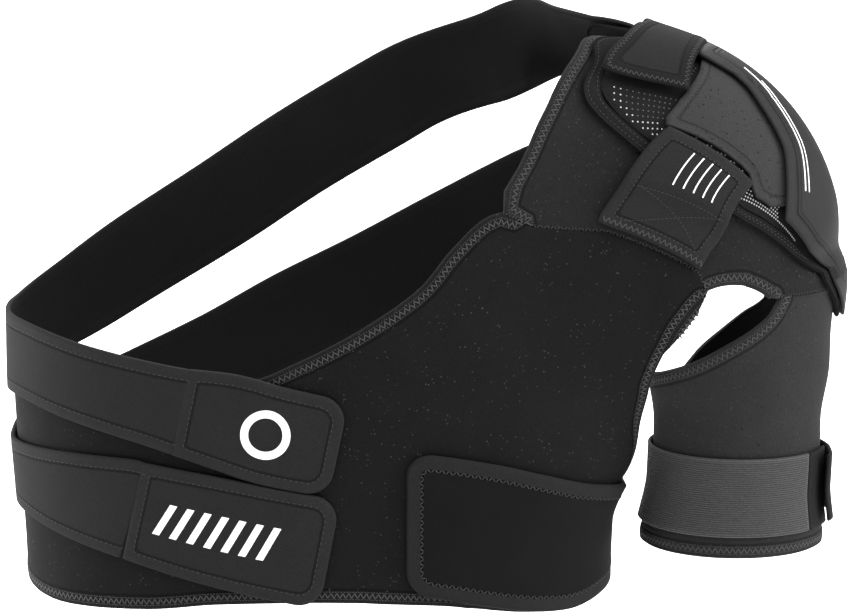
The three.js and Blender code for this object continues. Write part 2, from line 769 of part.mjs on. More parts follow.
// Anchor tab on the chest. Its rows run down from the cap, with both edges as psi and phi.
const anchorColumns = ["row", "leftPsi", "leftPhi", "rightPsi", "rightPhi"];
const anchorTable = [
  [0, -19.7, 22.6, 1.9, 29.4],
  [1, -31.3, 28, -5.7, 36.9],
  [2, -39.5, 31.2, -11.8, 43.9],
  [3, -48.6, 33.5, -28.9, 52.4],
];

function makeAnchorTab() {
  const read = reader(anchorColumns, anchorTable);
  const rows = steps(9).map((s) => {
    const row = s * (anchorTable.length - 1);
    return steps(6).map((t) =>
      spotOnShoulder(
        THREE.MathUtils.lerp(read("leftPsi", row), read("rightPsi", row), t),
        THREE.MathUtils.lerp(read("leftPhi", row), read("rightPhi", row), t),
      ),
    );
  });
  const overBinding = onCloth + BINDING_WALL + LAYER_GAP;
  const low = (s) => THREE.MathUtils.lerp(overBinding, onCloth, smooth(s, 0.42, 0.75));
  return wall("anchor_tab", COLOUR.strap, rows, low, (s) => low(s) + STRAP_WALL);
}

const seat = spotAlong(
  new THREE.Vector3(CHEST_HALF_WIDTH + SEAT_OUTWARD, 0, SHOULDER_HEIGHT),
  new THREE.Vector3(0, 0, 1),
).point;

const body = new THREE.Group();
body.add(makeChestPanel(), makeYoke(), makeTorsoBand(), makeSideTab());

const straps = new THREE.Group();
straps.add(makeUpperStrap(), makeUpperGrip(), makeLowerStrap(), makeLowerGrip());

const pad = new THREE.Group();
pad.add(
  shoulderPatch("pad_mesh", COLOUR.mesh, meshTable, 14, onCloth, MESH_WALL),
  makePadBinding(),
  shoulderPatch("cap_overlay", COLOUR.overlay, overlayTable, 6, onMesh, OVERLAY_WALL),
  shoulderPatch("cap_shell", COLOUR.shell, shellTable, 10, underShell, SHELL_WALL),
  shoulderPatch("top_keeper", COLOUR.strap, keeperTable, 4, onStrapEnd, KEEPER_WALL),
  makeAnchorTab(),
);

const onElastic = onCloth + ELASTIC_WALL + LAYER_GAP;
const sleeve = new THREE.Group();
sleeve.add(
  makeSleeve(),
  armPatch("sleeve_elastic", COLOUR.elastic, -40, -338, 27, ELASTIC_WIDTH, onCloth, ELASTIC_WALL),
  armPatch("sleeve_loop_strip", COLOUR.hook, -38.5, -12, 3, ELASTIC_WIDTH, onCloth, ELASTIC_WALL),
  armPatch("sleeve_hook_tab", COLOUR.hook, -26, 34, 7, HOOK_TAB_WIDTH, (s) => onElastic + 3 * (1 - smooth(s, 0, 0.4)), 2),
);

const worn = new THREE.Group();
worn.add(body, straps, pad, sleeve);
worn.position.copy(seat).negate();

const brace = new THREE.Group();
brace.add(worn);

export default brace;
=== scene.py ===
# %% [markdown]
# # A shoulder brace, dressed for its picture
# A neoprene brace for the left shoulder, in the shape that it has on the wearer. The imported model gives
# the solids. This script gives each of them its cloth: rounded edges, borders, seams, thread, mesh,
# padding and finish. Everything is worked out in millimetres from the hem of the torso, as in the
# part's source, and turned into metres from the seat when a mesh is made.

import math

import bpy
import numpy as np
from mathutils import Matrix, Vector


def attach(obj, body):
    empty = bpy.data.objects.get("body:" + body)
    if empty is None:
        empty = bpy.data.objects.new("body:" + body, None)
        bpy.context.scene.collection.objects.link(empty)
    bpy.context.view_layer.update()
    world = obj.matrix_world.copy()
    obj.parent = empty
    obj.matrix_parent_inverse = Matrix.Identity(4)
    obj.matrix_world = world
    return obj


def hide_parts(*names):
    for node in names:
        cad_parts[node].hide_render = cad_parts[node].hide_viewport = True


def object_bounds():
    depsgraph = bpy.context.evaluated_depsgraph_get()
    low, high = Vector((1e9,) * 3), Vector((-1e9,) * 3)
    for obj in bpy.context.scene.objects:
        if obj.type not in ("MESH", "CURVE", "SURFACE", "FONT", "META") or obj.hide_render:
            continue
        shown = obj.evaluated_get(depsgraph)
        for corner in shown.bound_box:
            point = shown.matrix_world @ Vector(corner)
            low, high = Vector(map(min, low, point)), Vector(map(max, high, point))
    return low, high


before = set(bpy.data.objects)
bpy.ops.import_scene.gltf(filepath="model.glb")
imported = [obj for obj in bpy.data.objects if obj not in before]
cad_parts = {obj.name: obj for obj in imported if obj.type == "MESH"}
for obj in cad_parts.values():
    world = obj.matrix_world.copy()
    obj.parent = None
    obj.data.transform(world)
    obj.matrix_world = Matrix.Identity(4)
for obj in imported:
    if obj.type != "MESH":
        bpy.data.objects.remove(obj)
cad_box = [list(corner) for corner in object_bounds()]
print("nodes:", len(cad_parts))

# %% [markdown]
# ## The body inside the brace
# Worn cloth lies on a body, so the body comes first, as a field: a formula that is about the distance
# from the skin, negative inside. A torso, a shoulder and an arm are three simple fields, and a soft
# minimum joins them without a crease. A spot on the skin is then found by walking along a ray until
# the field changes sign. This is the same body as in the part's source, so the cloth lands on the solids.

# %% Sizes of the body, in millimetres
CHEST_HALF_WIDTH, HEM_HALF_WIDTH, TORSO_HALF_DEPTH = 164, 158, 92
TORSO_ROUNDING, TORSO_SIDE_HEIGHT, TORSO_DOME = 2.6, 230, 110
ARMPIT_FULLNESS = 17
SHOULDER_CENTRE = np.array([155, 0, 171.0])
SHOULDER_REACH, SHOULDER_HALF_DEPTH, SHOULDER_RISE, SHOULDER_DROP = 125.5, 68, 125.5, 75
SHOULDER_ROUNDING = 2.12
TORSO_SCALE, SHOULDER_SCALE = 105, 95  # they make a field read about millimetres
TRUNK_SOFTNESS, ARM_SOFTNESS = 30, 12
ARM_X, ARM_RADIUS, ARM_SQUEEZE, ARM_SPREAD = 235, 48, 4.5, 0.5
FAN_CENTRE = np.array([231, 0, 140.0])
CHEST_HEIGHT, STRAP_WIDTH, GRIP_WIDTH, TAB_HEIGHT = 218, 50, 60, 80
ELASTIC_LOW, ELASTIC_WIDTH = 29, 43
SLEEVE_HEM, SLEEVE_SEAM, UNDERARM = 18, 163, 110

# %% Walls, and heights above the skin, in millimetres
CLOTH_WALL, STRAP_WALL, MESH_WALL, BINDING_WALL, PAD_WALL = 3, 2.8, 1.6, 2.2, 2
KEEPER_WALL = ELASTIC_WALL = 1.8
LAYER_GAP, SHELL_GAP = 1.15, 1.6
ON_CLOTH = CLOTH_WALL + LAYER_GAP
ON_MESH = ON_CLOTH + MESH_WALL + LAYER_GAP
ON_BINDING = ON_CLOTH + BINDING_WALL + LAYER_GAP
ON_OVERLAY = ON_MESH + PAD_WALL + SHELL_GAP
ON_STRAP_END = ON_BINDING + STRAP_WALL + LAYER_GAP


def smooth(x, low, high):
    t = np.clip((np.asarray(x, float) - low) / (high - low), 0, 1)
    return t * t * (3 - 2 * t)


def torso_field(p):
    x, y, z = p[..., 0], p[..., 1], p[..., 2]
    fullness = ARMPIT_FULLNESS * smooth(z, 30, 85) * (1 - smooth(z, 110, 171)) * (x > 0)
    width = HEM_HALF_WIDTH + (CHEST_HALF_WIDTH - HEM_HALF_WIDTH) * smooth(z, 0, 120) + fullness
    total = np.abs(x / width) ** TORSO_ROUNDING + np.abs(y / TORSO_HALF_DEPTH) ** TORSO_ROUNDING
    total = total + (np.maximum(0, z - TORSO_SIDE_HEIGHT) / TORSO_DOME) ** TORSO_ROUNDING
    return (total ** (1 / TORSO_ROUNDING) - 1) * TORSO_SCALE


def shoulder_field(p):
    away = np.abs(p - SHOULDER_CENTRE)
    tall = np.where(p[..., 2] > SHOULDER_CENTRE[2], SHOULDER_RISE, SHOULDER_DROP)
    total = (away[..., 0] / SHOULDER_REACH) ** SHOULDER_ROUNDING
    total = total + (away[..., 1] / SHOULDER_HALF_DEPTH) ** SHOULDER_ROUNDING
    total = total + (away[..., 2] / tall) ** SHOULDER_ROUNDING
    return (total ** (1 / SHOULDER_ROUNDING) - 1) * SHOULDER_SCALE


def arm_axis(z):
    return ARM_X - 3 * (1 - smooth(z, 0, 80))


def arm_field(p):
    x, y, z = p[..., 0], p[..., 1], p[..., 2]
    top = ELASTIC_LOW + ELASTIC_WIDTH
    squeeze = smooth(z, ELASTIC_LOW - 11, ELASTIC_LOW + 24) * (1 - smooth(z, top + 13, top + 48))
    radius = ARM_RADIUS - ARM_SQUEEZE * squeeze + ARM_SPREAD * smooth(z, UNDERARM, SLEEVE_SEAM)
    return np.hypot(x - arm_axis(z), y) - radius + np.maximum(0, z - SHOULDER_CENTRE[2])


def soft_join(a, b, softness):
    share = np.clip(0.5 + 0.5 * (b - a) / softness, 0, 1)
    return b * (1 - share) + a * share - softness * share * (1 - share)


def trunk_field(p):
    return soft_join(torso_field(p), shoulder_field(p), TRUNK_SOFTNESS)


def body_field(p):
    return soft_join(trunk_field(p), arm_field(p), ARM_SOFTNESS)


# %% [markdown]
# A skin is a grid of spots: their points and the directions away from the body. Three ways to reach
# it cover every piece: round the torso, over the shoulder, and round the arm.

# %% Spots on the skin
SLOPE_STEP, FARTHEST = 0.05, 260.0  # millimetres
HALVINGS, SETTLING_STEPS = 34, 10


class Skin:
    """Grids of points and outward directions, both rows x columns x 3."""

    def __init__(self, points, normals):
        self.points, self.normals = points, normals

    def lifted(self, height):
        height = np.broadcast_to(np.asarray(height, float), self.points.shape[:2])
        return self.points + self.normals * height[..., None]


def unit(v):
    return v / np.maximum(np.linalg.norm(v, axis=-1, keepdims=True), 1e-9)


def outwards(p, field):
    steps = np.eye(3) * SLOPE_STEP
    slopes = [field(p + step) - field(p - step) for step in steps]
    return unit(np.stack(slopes, axis=-1))


def walk(start, direction, field):
    start, direction = np.broadcast_arrays(start, direction)
    near, far = np.zeros(direction.shape[:-1]), np.full(direction.shape[:-1], FARTHEST)
    for _ in range(HALVINGS):
        middle = (near + far) / 2
        inside = field(start + direction * middle[..., None]) < 0
        near, far = np.where(inside, middle, near), np.where(inside, far, middle)
    points = start + direction * near[..., None]
    return Skin(points, outwards(points, field))


def settle(points):
    """The spots of the trunk's skin nearest to the points."""
    for _ in range(SETTLING_STEPS):
        points = points - outwards(points, trunk_field) * trunk_field(points)[..., None] * 0.8
    return Skin(points, outwards(points, trunk_field))


def round_torso(angle, z):
    """0 degrees is the middle of the front, positive towards the braced arm."""
    angle, z = np.broadcast_arrays(np.radians(np.asarray(angle, float)), np.asarray(z, float))
    direction = np.stack([np.sin(angle), -np.cos(angle), np.zeros_like(angle)], axis=-1)
    return walk(np.stack([0 * z, 0 * z, z], axis=-1), direction, trunk_field)


def over_shoulder(psi, phi):
    """psi tips from straight up to the outside of the arm, phi towards the front."""
    psi, phi = np.broadcast_arrays(*(np.radians(np.asarray(turn, float)) for turn in (psi, phi)))
    reach = np.cos(phi)
    direction = np.stack([reach * np.sin(psi), -np.sin(phi), reach * np.cos(psi)], axis=-1)
    return walk(FAN_CENTRE, direction, body_field)


def round_arm(angle, z):
    """0 degrees is the outside of the arm, -90 its front and 180 the armpit side."""
    angle, z = np.broadcast_arrays(np.asarray(angle, float), np.asarray(z, float))
    turn = np.radians(angle)
    direction = np.stack([np.cos(turn), np.sin(turn), np.zeros_like(turn)], axis=-1)
    axis = np.stack([arm_axis(z), 0 * z, z], axis=-1)
    plain, joined = walk(axis, direction, arm_field), walk(axis, direction, body_field)
    share = (1 - smooth(np.abs(angle), 75, 110))[..., None]
    points = plain.points + (joined.points - plain.points) * share
    return Skin(points, unit(plain.normals + (joined.normals - plain.normals) * share))


under_seat = np.array([CHEST_HALF_WIDTH + 16, 0, SHOULDER_CENTRE[2]])
SEAT = walk(under_seat, np.array([0, 0, 1.0]), body_field).points
print("seat, mm from the hem:", np.round(SEAT, 2))


# %% [markdown]
# A cut edge is given as a short table of points. Reading it with slopes that never overshoot
# (a monotone cubic) gives the smooth line that scissors would leave.

# %% Reading a table as a smooth line
def cubic(t, a, b, leaving, arriving):
    """From a to b as t goes from 0 to 1, with a slope at each end."""
    eased = (1 + 2 * t) * (1 - t) ** 2 * a + t * t * (3 - 2 * t) * b
    return eased + t * (1 - t) * ((1 - t) * leaving - t * arriving)


def through(rows, column, at):
    """A column of a table, at places in its first column, which has to rise."""
    x, y = np.array([(row[0], row[column]) for row in rows], float).T
    gap, rise = np.diff(x), np.diff(y) / np.diff(x)
    slope = np.zeros(len(x))
    same = rise[:-1] * rise[1:] > 0
    slope[1:-1][same] = 2 / (1 / rise[:-1][same] + 1 / rise[1:][same])
    slope[0], slope[-1] = rise[0], rise[-1]
    at = np.clip(np.asarray(at, float), x[0], x[-1])
    i = np.clip(np.searchsorted(x, at, side="right") - 1, 0, len(x) - 2)
    return cubic((at - x[i]) / gap[i], y[i], y[i + 1], gap[i] * slope[i], gap[i] * slope[i + 1])


def smooth_line(knots, values, at):
    """Catmull-Rom through the values."""
    values = np.asarray(values, float)
    slope = np.gradient(values)
    i = np.clip(at.astype(int), 0, len(knots) - 2)
    return cubic(at - i, values[i], values[i + 1], slope[i], slope[i + 1])


def mixed(a, b, share):
    return a + (b - a) * share


# %% [markdown]
# ## From a skin to a cloth
# Cloth laminated to foam has a thick, soft edge. So a sheet is two grids, one under and one over,
# closed by a ring that bulges a little at half height. Each corner also carries its distance from
# the cut edge, in millimetres: borders and grooves follow that edge, so the finish reads
# them from this one number and stays crisp however coarse the grid is.

# %% A closed sheet of cloth
RIM_BULGE = 0.32  # of the wall
GRIDS = {}  # piece name: points of its outer face, their normals, distance from the cut edge, closed
CUTS = {}  # piece name: width, length and area of the flat cut, in metres


def rim_of(rows, columns, closed):
    """Grid places round the edge, in order. A closed sheet has two edges."""
    if closed:
        return [[(i, 0) for i in range(rows)], [(i, columns - 1) for i in range(rows)][::-1]]
    ring = [(0, j) for j in range(columns)] + [(i, columns - 1) for i in range(1, rows)]
    ring += [(rows - 1, j) for j in range(columns - 2, -1, -1)]
    return [ring + [(i, 0) for i in range(rows - 2, 0, -1)]]


def distance_from(points, border, block=2000):
    flat = points.reshape(-1, 3)
    gaps = (flat[k : k + block, None] - border[None] for k in range(0, len(flat), block))
    shortest = [np.sqrt((gap**2).sum(-1).min(1)) for gap in gaps]
    return np.concatenate(shortest).reshape(points.shape[:2])


def lengths(points, axis):
    steps = np.linalg.norm(np.diff(points, axis=axis), axis=-1)
    return np.concatenate([np.zeros_like(np.take(steps, [0], axis)), np.cumsum(steps, axis)], axis)


def finer(a, b, step=1.5):
    """Points from a to b, no more than step millimetres apart."""
    count = max(1, math.ceil(np.linalg.norm(b - a) / step))
    return a + (b - a) * np.arange(count + 1)[:, None] / count


def make_mesh(name, points, faces, smooth_faces=True):
    mesh = bpy.data.meshes.new(name)
    spots = [tuple(p) for p in (points - SEAT) / 1000]
    mesh.from_pydata(spots, [], [tuple(int(k) for k in face) for face in faces])
    mesh.polygons.foreach_set("use_smooth", [smooth_faces] * len(mesh.polygons))
    mesh.validate()
    piece = bpy.data.objects.new(name, mesh)
    bpy.context.collection.objects.link(piece)
    return piece


def write_number(piece, name, values):
    layer = piece.data.attributes.new(name, "FLOAT", "POINT")
    layer.data.foreach_set("value", np.asarray(values, np.float32).ravel())


def write_vector(piece, name, values):
    layer = piece.data.attributes.new(name, "FLOAT_VECTOR", "POINT")
    layer.data.foreach_set("vector", np.asarray(values, np.float32).ravel())


def turn_outwards(mesh):
    """Turns every face of a closed mesh round if it is inside out."""
    spots = np.array([vertex.co for vertex in mesh.vertices])
    mesh.calc_loop_triangles()
    a, b, c = (spots[[triangle.vertices[k] for triangle in mesh.loop_triangles]] for k in range(3))
    if np.einsum("ij,ij->i", a, np.cross(b, c)).sum() < 0:
        mesh.flip_normals()


def cloth(name, skin, low, high, closed=False, bare=None):
    """A sheet over a skin, from height low to high. bare(i, j): that edge spot has no border."""
    rows, columns = skin.points.shape[:2]
    under, over = skin.lifted(low), skin.lifted(high)
    rims = rim_of(rows, columns, closed)
    middle, wall = (under + over) / 2, np.linalg.norm(over - under, axis=-1)
    steps = [(p, q) for ring in rims for p, q in zip(ring, ring[1:] + ring[:1])]
    hemmed = [finer(over[p], over[q]) for p, q in steps if not (bare and bare(*p) and bare(*q))]
    edge = distance_from(over, np.concatenate(hemmed))
    GRIDS[name] = (over, skin.normals, edge, closed)
    points, faces = [under.reshape(-1, 3), over.reshape(-1, 3)], []
    count = rows * columns
    place = lambda side, i, j: side * count + (i % rows) * columns + j
    for i in range(rows if closed else rows - 1):
        for j in range(columns - 1):
            a, b, c, d = [place(0, i + di, j + dj) for di, dj in ((0, 0), (0, 1), (1, 1), (1, 0))]
            faces += [(a, b, c, d), (a + count, d + count, c + count, b + count)]
    start = 2 * count
    for ring in rims:
        line = np.array([middle[p] for p in ring])
        outward = np.array([skin.normals[p] for p in ring])
        along = np.roll(line, -1, axis=0) - np.roll(line, 1, axis=0)
        push = unit(np.cross(along, outward))
        step_in = lambda k, count: min(max(k, 1), count - 2)
        inner = [middle[i if closed else step_in(i, rows), step_in(j, columns)] for i, j in ring]
        if np.mean(np.sum(push * (line - inner), axis=-1)) < 0:
            push = -push
        points.append(line + push * (RIM_BULGE * np.array([wall[p] for p in ring]))[:, None])
        for k, (p, q) in enumerate(zip(ring, ring[1:] + ring[:1])):
            a, b = start + k, start + (k + 1) % len(ring)
            u1, u2, o1, o2 = place(0, *p), place(0, *q), place(1, *p), place(1, *q)
            faces += [(u2, u1, a, b), (b, a, o1, o2)]
        start += len(ring)
    piece = make_mesh(name, np.concatenate(points), faces)
    turn_outwards(piece.data)
    on_rim = np.zeros(start - 2 * count)
    write_number(piece, "edge", np.concatenate([edge.ravel(), edge.ravel(), on_rim]))
    write_number(piece, "inside", np.concatenate([np.ones(count), np.zeros(count), on_rim + 0.5]))
    across, along = lengths(over, 1), lengths(over, 0)
    flat = np.stack([along - along[-1:] / 2, across - across[:, -1:] / 2], axis=-1).reshape(-1, 2)
    flat = flat / 1000
    rim_flat = np.array([flat[i * columns + j] for ring in rims for i, j in ring])
    flat = np.concatenate([flat, flat, rim_flat])
    layer = piece.data.uv_layers.new(name="Cloth")
    corners = np.zeros(len(piece.data.loops), int)
    piece.data.loops.foreach_get("vertex_index", corners)
    layer.data.foreach_set("uv", flat[corners].astype(np.float32).ravel())
    turned = np.concatenate([over, over[:1]]) if closed else over
    down, right = turned[1:, :-1] - turned[:-1, :-1], turned[:-1, 1:] - turned[:-1, :-1]
    area = np.linalg.norm(np.cross(down, right), axis=-1).sum()
    width, length = across[:, -1].max(), lengths(turned, 0)[-1].max()
    CUTS[name] = (width / 1000, length / 1000, area / 1e6)
    print(f"{name}: {len(faces)} faces, cut {width:.0f} x {length:.0f} mm, {area / 100:.0f} cm2")
    return piece


# %% [markdown]
# ## The picture
# The camera stands where the photographer stood: in front, a little above, far away with a long lens.

# %% Camera
PHOTO_WIDTH, FOCAL_PIXELS, SENSOR = 847, 4324, 36
CAMERA_DISTANCE, CAMERA_RISE = 2.4, math.radians(10.5)
aim = Vector((-0.1198, 0, -0.14773))
camera_data = bpy.data.cameras.new("camera")
camera_data.sensor_fit, camera_data.sensor_width = "HORIZONTAL", SENSOR
camera_data.lens = SENSOR * FOCAL_PIXELS / PHOTO_WIDTH
camera_data.clip_end = 60
camera = bpy.data.objects.new("camera", camera_data)
back = Vector((0, -math.cos(CAMERA_RISE), math.sin(CAMERA_RISE)))
camera.location = aim + CAMERA_DISTANCE * back
camera.rotation_euler = (math.pi / 2 - CAMERA_RISE, 0, 0)
bpy.context.collection.objects.link(camera)
bpy.context.scene.camera = camera
print("lens", round(camera_data.lens, 1), "mm")

# %% [markdown]
# ## Finishes
# A node tree is easier to read as sums. A wire is one socket, and Python's own signs add the nodes.

# %% Wires and trees
class Wire:
    def __init__(self, tree, socket):
        self.tree, self.socket = tree, socket

    def __add__(self, other): return self.tree.sum("ADD", self, other)
    def __radd__(self, other): return self.tree.sum("ADD", other, self)
    def __sub__(self, other): return self.tree.sum("SUBTRACT", self, other)
    def __rsub__(self, other): return self.tree.sum("SUBTRACT", other, self)
    def __mul__(self, other): return self.tree.sum("MULTIPLY", self, other)
    def __rmul__(self, other): return self.tree.sum("MULTIPLY", other, self)
    def __truediv__(self, other): return self.tree.sum("DIVIDE", self, other)


class Tree:
    """add takes a node's kind, its settings and its inputs, and gives one of its outputs."""

    def __init__(self, nodes):
        self.nodes = nodes

    def add(self, kind, settings=None, inputs=None, output=0):
        node = self.nodes.nodes.new(kind)
        for key, value in (settings or {}).items():
            setattr(node, key, value)
        for key, value in (inputs or {}).items():
            if isinstance(value, Wire):
                self.nodes.links.new(value.socket, node.inputs[key])
            else:
                node.inputs[key].default_value = value
        return Wire(self, node.outputs[output])

    def sum(self, operation, *values):
        return self.add("ShaderNodeMath", {"operation": operation}, dict(enumerate(values)))

    def number(self, name):
        return self.add("ShaderNodeAttribute", {"attribute_name": name}, output=2)

    def ease(self, value, low, high):
        ends = {"Value": value, "From Min": low, "From Max": high}
        return self.add("ShaderNodeMapRange", {"interpolation_type": "SMOOTHSTEP"}, ends)

    def line(self, value, middle, half, soft):
        """1 on a line at middle, half its width to each side, with soft sides."""
        return 1 - self.ease(self.sum("ABSOLUTE", value - middle), half, half + soft)

    def paint(self, share, a, b):
        return self.add("ShaderNodeMix", {"data_type": "RGBA"}, {0: share, 6: a, 7: b}, output=2)

    def noise(self, where, scale, detail):
        sizes = {"Vector": where, "Scale": scale, "Detail": detail}
        return self.add("ShaderNodeTexNoise", None, sizes)

    def cells(self, where, scale, spread=1.0):
        sizes = {"Vector": where, "Scale": scale, "Randomness": spread}
        return self.add("ShaderNodeTexVoronoi", None, sizes)


def grey(level):
    return (level, level, level * 1.02, 1)


def new_material(name, rough, shine):
    material = bpy.data.materials.new(name)
    material.use_nodes = True
    shader = material.node_tree.nodes["Principled BSDF"]
    shader.inputs["Roughness"].default_value = rough
    shader.inputs["Specular IOR Level"].default_value = shine
    tree = Tree(material.node_tree)
    return material, tree, shader, tree.add("ShaderNodeTexCoord", output=3)


def shaded(tree, level, shade):
    return tree.add("ShaderNodeVectorMath", {"operation": "SCALE"}, {0: grey(level)[:3], 3: shade})


# %% [markdown]
# One recipe covers the neoprene cloths. The knit face is a fine grain with a slight pile, so the
# colour and the bump share one noise. Pale lint sits here and there. A border runs along the cut edge,
# a little lighter or darker, and ends in a sewn groove, which is dented in the bump and also painted
# darker as painted shade. The inner face is painted darker than the outer one, as painted shade for the
# inside of the brace. The sleeve and the overlay have fine holes and pale specks, and the elastic has
# ribs. Distances from the edge are in millimetres.

# %% A cloth laminated to foam
def cloth_finish(name, level, border=7.0, border_lift=1.25, grain=1300, lint=0.0, rough=0.85,
                 groove=0.7, second=None, mottle=0.35, ribs=0.0, dots=0):
    material, tree, shader, place = new_material(name, rough, 0.05)
    edge, inside = tree.number("edge"), tree.number("inside")
    fine, broad = tree.noise(place, grain, 3.0), tree.noise(place, 45, 3.0)
    knit = tree.cells(place, grain * 0.7)
    rim = 1 - tree.ease(edge, border - 1.2, border)
    # Mask of the inner face. Its colour is painted darker, as painted shade for the inside of the brace, and
    # the mask also keeps the groove and the lint off that face.
    inner_face_in_painted_shade = tree.ease(inside, 0.6, 0.9)
    # The sewn groove: dented in the bump below, and painted darker in colour as painted shade in the recess.
    groove_and_painted_shade = tree.line(edge, border, 0.4, 0.6)
    if second:
        groove_and_painted_shade = groove_and_painted_shade + tree.line(edge, second, 0.3, 0.5) * 0.6
    groove_and_painted_shade = groove_and_painted_shade * groove * (1 - inner_face_in_painted_shade)
    shade = 1 + mottle * (broad - 0.5) + 1.1 * (fine - 0.5)
    # Painted shade: the colour is darkened along the groove and on the inner face.
    shade = shade * (1 + (border_lift - 1) * rim) * (1 - 0.62 * groove_and_painted_shade) * (1 - 0.5 * inner_face_in_painted_shade)
    height = fine * 0.25 + knit * 0.25 - groove_and_painted_shade * 1.6 + rim * 0.35
    if dots:
        holes = tree.ease(tree.cells(place, dots, 0.6), dots * 0.0007, dots * 0.00045)
        pale = tree.ease(tree.cells(place, dots * 0.61, 0.9), dots * 0.00035, dots * 0.0002)
        shade = shade * (1 - 0.5 * holes) * (1 + 0.5 * pale)
        height = height - holes * 0.8
    if ribs:
        flat = tree.add("ShaderNodeUVMap", {"uv_map": "Cloth"})
        split = tree.add("ShaderNodeSeparateXYZ", None, {0: flat}, output=1)
        rib = tree.sum("SINE", split * (2 * math.pi * 1000 / ribs))
        height = height + rib * 0.5
        shade = shade * (1 + 0.28 * rib)
    base = shaded(tree, level, shade)
    if lint:
        few = tree.ease(tree.noise(place, 170, 1.0), 0.52 - 0.1 * lint, 0.62 - 0.1 * lint)
        specks = tree.ease(tree.cells(place, 400), 0.2, 0.08) * few
        base = tree.paint(specks * 0.8 * (1 - inner_face_in_painted_shade), base, grey(0.05))
    relief = {"Strength": 0.6, "Distance": 0.0006, "Height": height}
    bump = tree.add("ShaderNodeBump", None, relief)
    material.node_tree.links.new(base.socket, shader.inputs["Base Color"])
    material.node_tree.links.new(bump.socket, shader.inputs["Normal"])
    return material


PANEL = cloth_finish("panel_neoprene", 0.0064, lint=0.5, border_lift=1.3)
YOKE = cloth_finish("yoke_neoprene", 0.0108, lint=1.0, border_lift=1.35, grain=1000)
SLEEVE = cloth_finish("sleeve_neoprene", 0.0185, dots=100, lint=0.3, border_lift=1.0)
STRAP = cloth_finish("strap_neoprene", 0.0138, border=6.2, border_lift=1.14, mottle=0.2)
TAB = cloth_finish("tab_neoprene", 0.005, border=7.2, border_lift=2.5, mottle=0.3)
BINDING = cloth_finish("folded_binding", 0.0075, border=2, border_lift=1.0, groove=0.0, grain=1600)
OVERLAY = cloth_finish(
    "dotted_overlay", 0.0245, dots=230, border=4.5, border_lift=1.1, groove=0.5, mottle=0.12, rough=0.7
)
SHELL = cloth_finish(
    "shell_cloth", 0.0175, border=6.8, second=9.2, border_lift=1.0, groove=0.8, mottle=0.12, rough=0.6
)
ELASTIC = cloth_finish("ribbed_elastic", 0.042, border=2, groove=0.0, mottle=0.15, ribs=1.2, rough=0.75)
KEEPER = cloth_finish("keeper_web", 0.0118, border=6.5, border_lift=0.66, mottle=0.15)
HOOK = cloth_finish("hook_and_loop", 0.008, border=2, groove=0.0, mottle=0.3, grain=700)
MESH = cloth_finish("spacer_mesh", 0.009, border=1, groove=0.0, mottle=0.2, grain=900)
print("finishes:", len(bpy.data.materials))


def plain_finish(name, level, rough):
    material, tree, shader, place = new_material(name, rough, 0.2)
    base = shaded(tree, level, 0.85 + 0.3 * tree.noise(place, 900, 2.0))
    material.node_tree.links.new(base.socket, shader.inputs["Base Color"])
    return material


THREAD = plain_finish("sewing_thread", 0.038, 0.6)
PRINT = plain_finish("white_print", 0.85, 0.5)
DOT = plain_finish("mesh_opening", 0.42, 0.7)
DIM_DOT = plain_finish("shaded_mesh_opening", 0.075, 0.7)


# %% [markdown]
# A finished piece rides on the one body and replaces its solid. Sheets also say the size that
# they were cut to.

# %% Finishing a piece
def finish_piece(piece, material, nodes=()):
    piece.data.materials.clear()
    piece.data.materials.append(material)
    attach(piece, "root")
    if nodes:
        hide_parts(*nodes)
    return piece


# %% [markdown]
# ## Chest panel
# One cut of neoprene from the hem up to the neck edge, the yoke seam and the armhole. It is laid out
# thread by thread: each thread runs from the hem to the upper edge, and a table says where both ends lie.

# %% Chest panel
YOKE_SEAM = [  # psi, phi from the neck corner to the armhole
    (-59.8, 28.4), (-59.2, 30.2), (-55.6, 32.2), (-49.2, 35.4),
    (-44.4, 40.3), (-38.4, 46.2), (-30.5, 53.9), (-32, 60.5),
]
SEAM_HEM = [  # angle and rise of the hem below each of these spots
    (42, 0.002), (44, -0.002), (47, -0.006), (51, -0.014), (55, -0.022), (59, -0.028), (64, -0.035),
    (67, -0.037),
]
CHEST_START, CHEST_ROWS = -87.35, 84
CHEST_FRONT = [  # angle and rise of the hem, angle and height of the upper edge
    (CHEST_START, 0.016, CHEST_START, 0.52), (-66, -0.016, -64, 0.52), (-47, -0.007, -46, 0.54),
    (-30, 0.012, -19, 0.572), (-15, 0.017, -4.6, 0.617), (2, 0.019, 13.2, 0.685),
    (15, 0.018, 27.4, 0.76), (22, 0.015, 33.9, 0.809), (36, 0.008, 42, 0.908),
]
CHEST_SIDE = [
    (69, -0.037, 73, 0.735), (72, -0.036, 72.4, 0.675), (75, -0.032, 72.6, 0.62), (78, -0.024, 73.5, 0.55),
    (80, -0.016, 75.5, 0.49), (83, -0.008, 79, 0.405), (87, 0.002, 83, 0.31), (91, 0.01, 91.5, 0.25),
]
seam_skin = over_shoulder(*np.array(YOKE_SEAM, float).T)
seam_angles = np.degrees(np.arctan2(seam_skin.points[:, 0], -seam_skin.points[:, 1]))
seam_heights = (seam_skin.points[:, 2] - 0.8) / CHEST_HEIGHT
seam_rows = [(*hem, *top) for hem, top in zip(SEAM_HEM, zip(seam_angles, seam_heights))]
chest_table = CHEST_FRONT + seam_rows + CHEST_SIDE
stand_out = seam_skin.points - round_torso(seam_angles, seam_skin.points[:, 2]).points


def chest_skin(threads):
    t = np.linspace(0, 1, CHEST_ROWS + 1)[None]
    hem, top_angle, top = (through(chest_table, k, threads)[:, None] for k in (1, 2, 3))
    angle = mixed(threads[:, None], top_angle, t)
    skin = round_torso(angle, mixed(hem, top, t) * CHEST_HEIGHT)
    hems = [36] + [row[0] for row in SEAM_HEM] + [69]
    for k in range(3):
        step = np.interp(threads, hems, np.concatenate([[0], stand_out[:, k], [0]]))
        skin.points[..., k] += step[:, None] * smooth(t, 0.6, 1)
    return skin


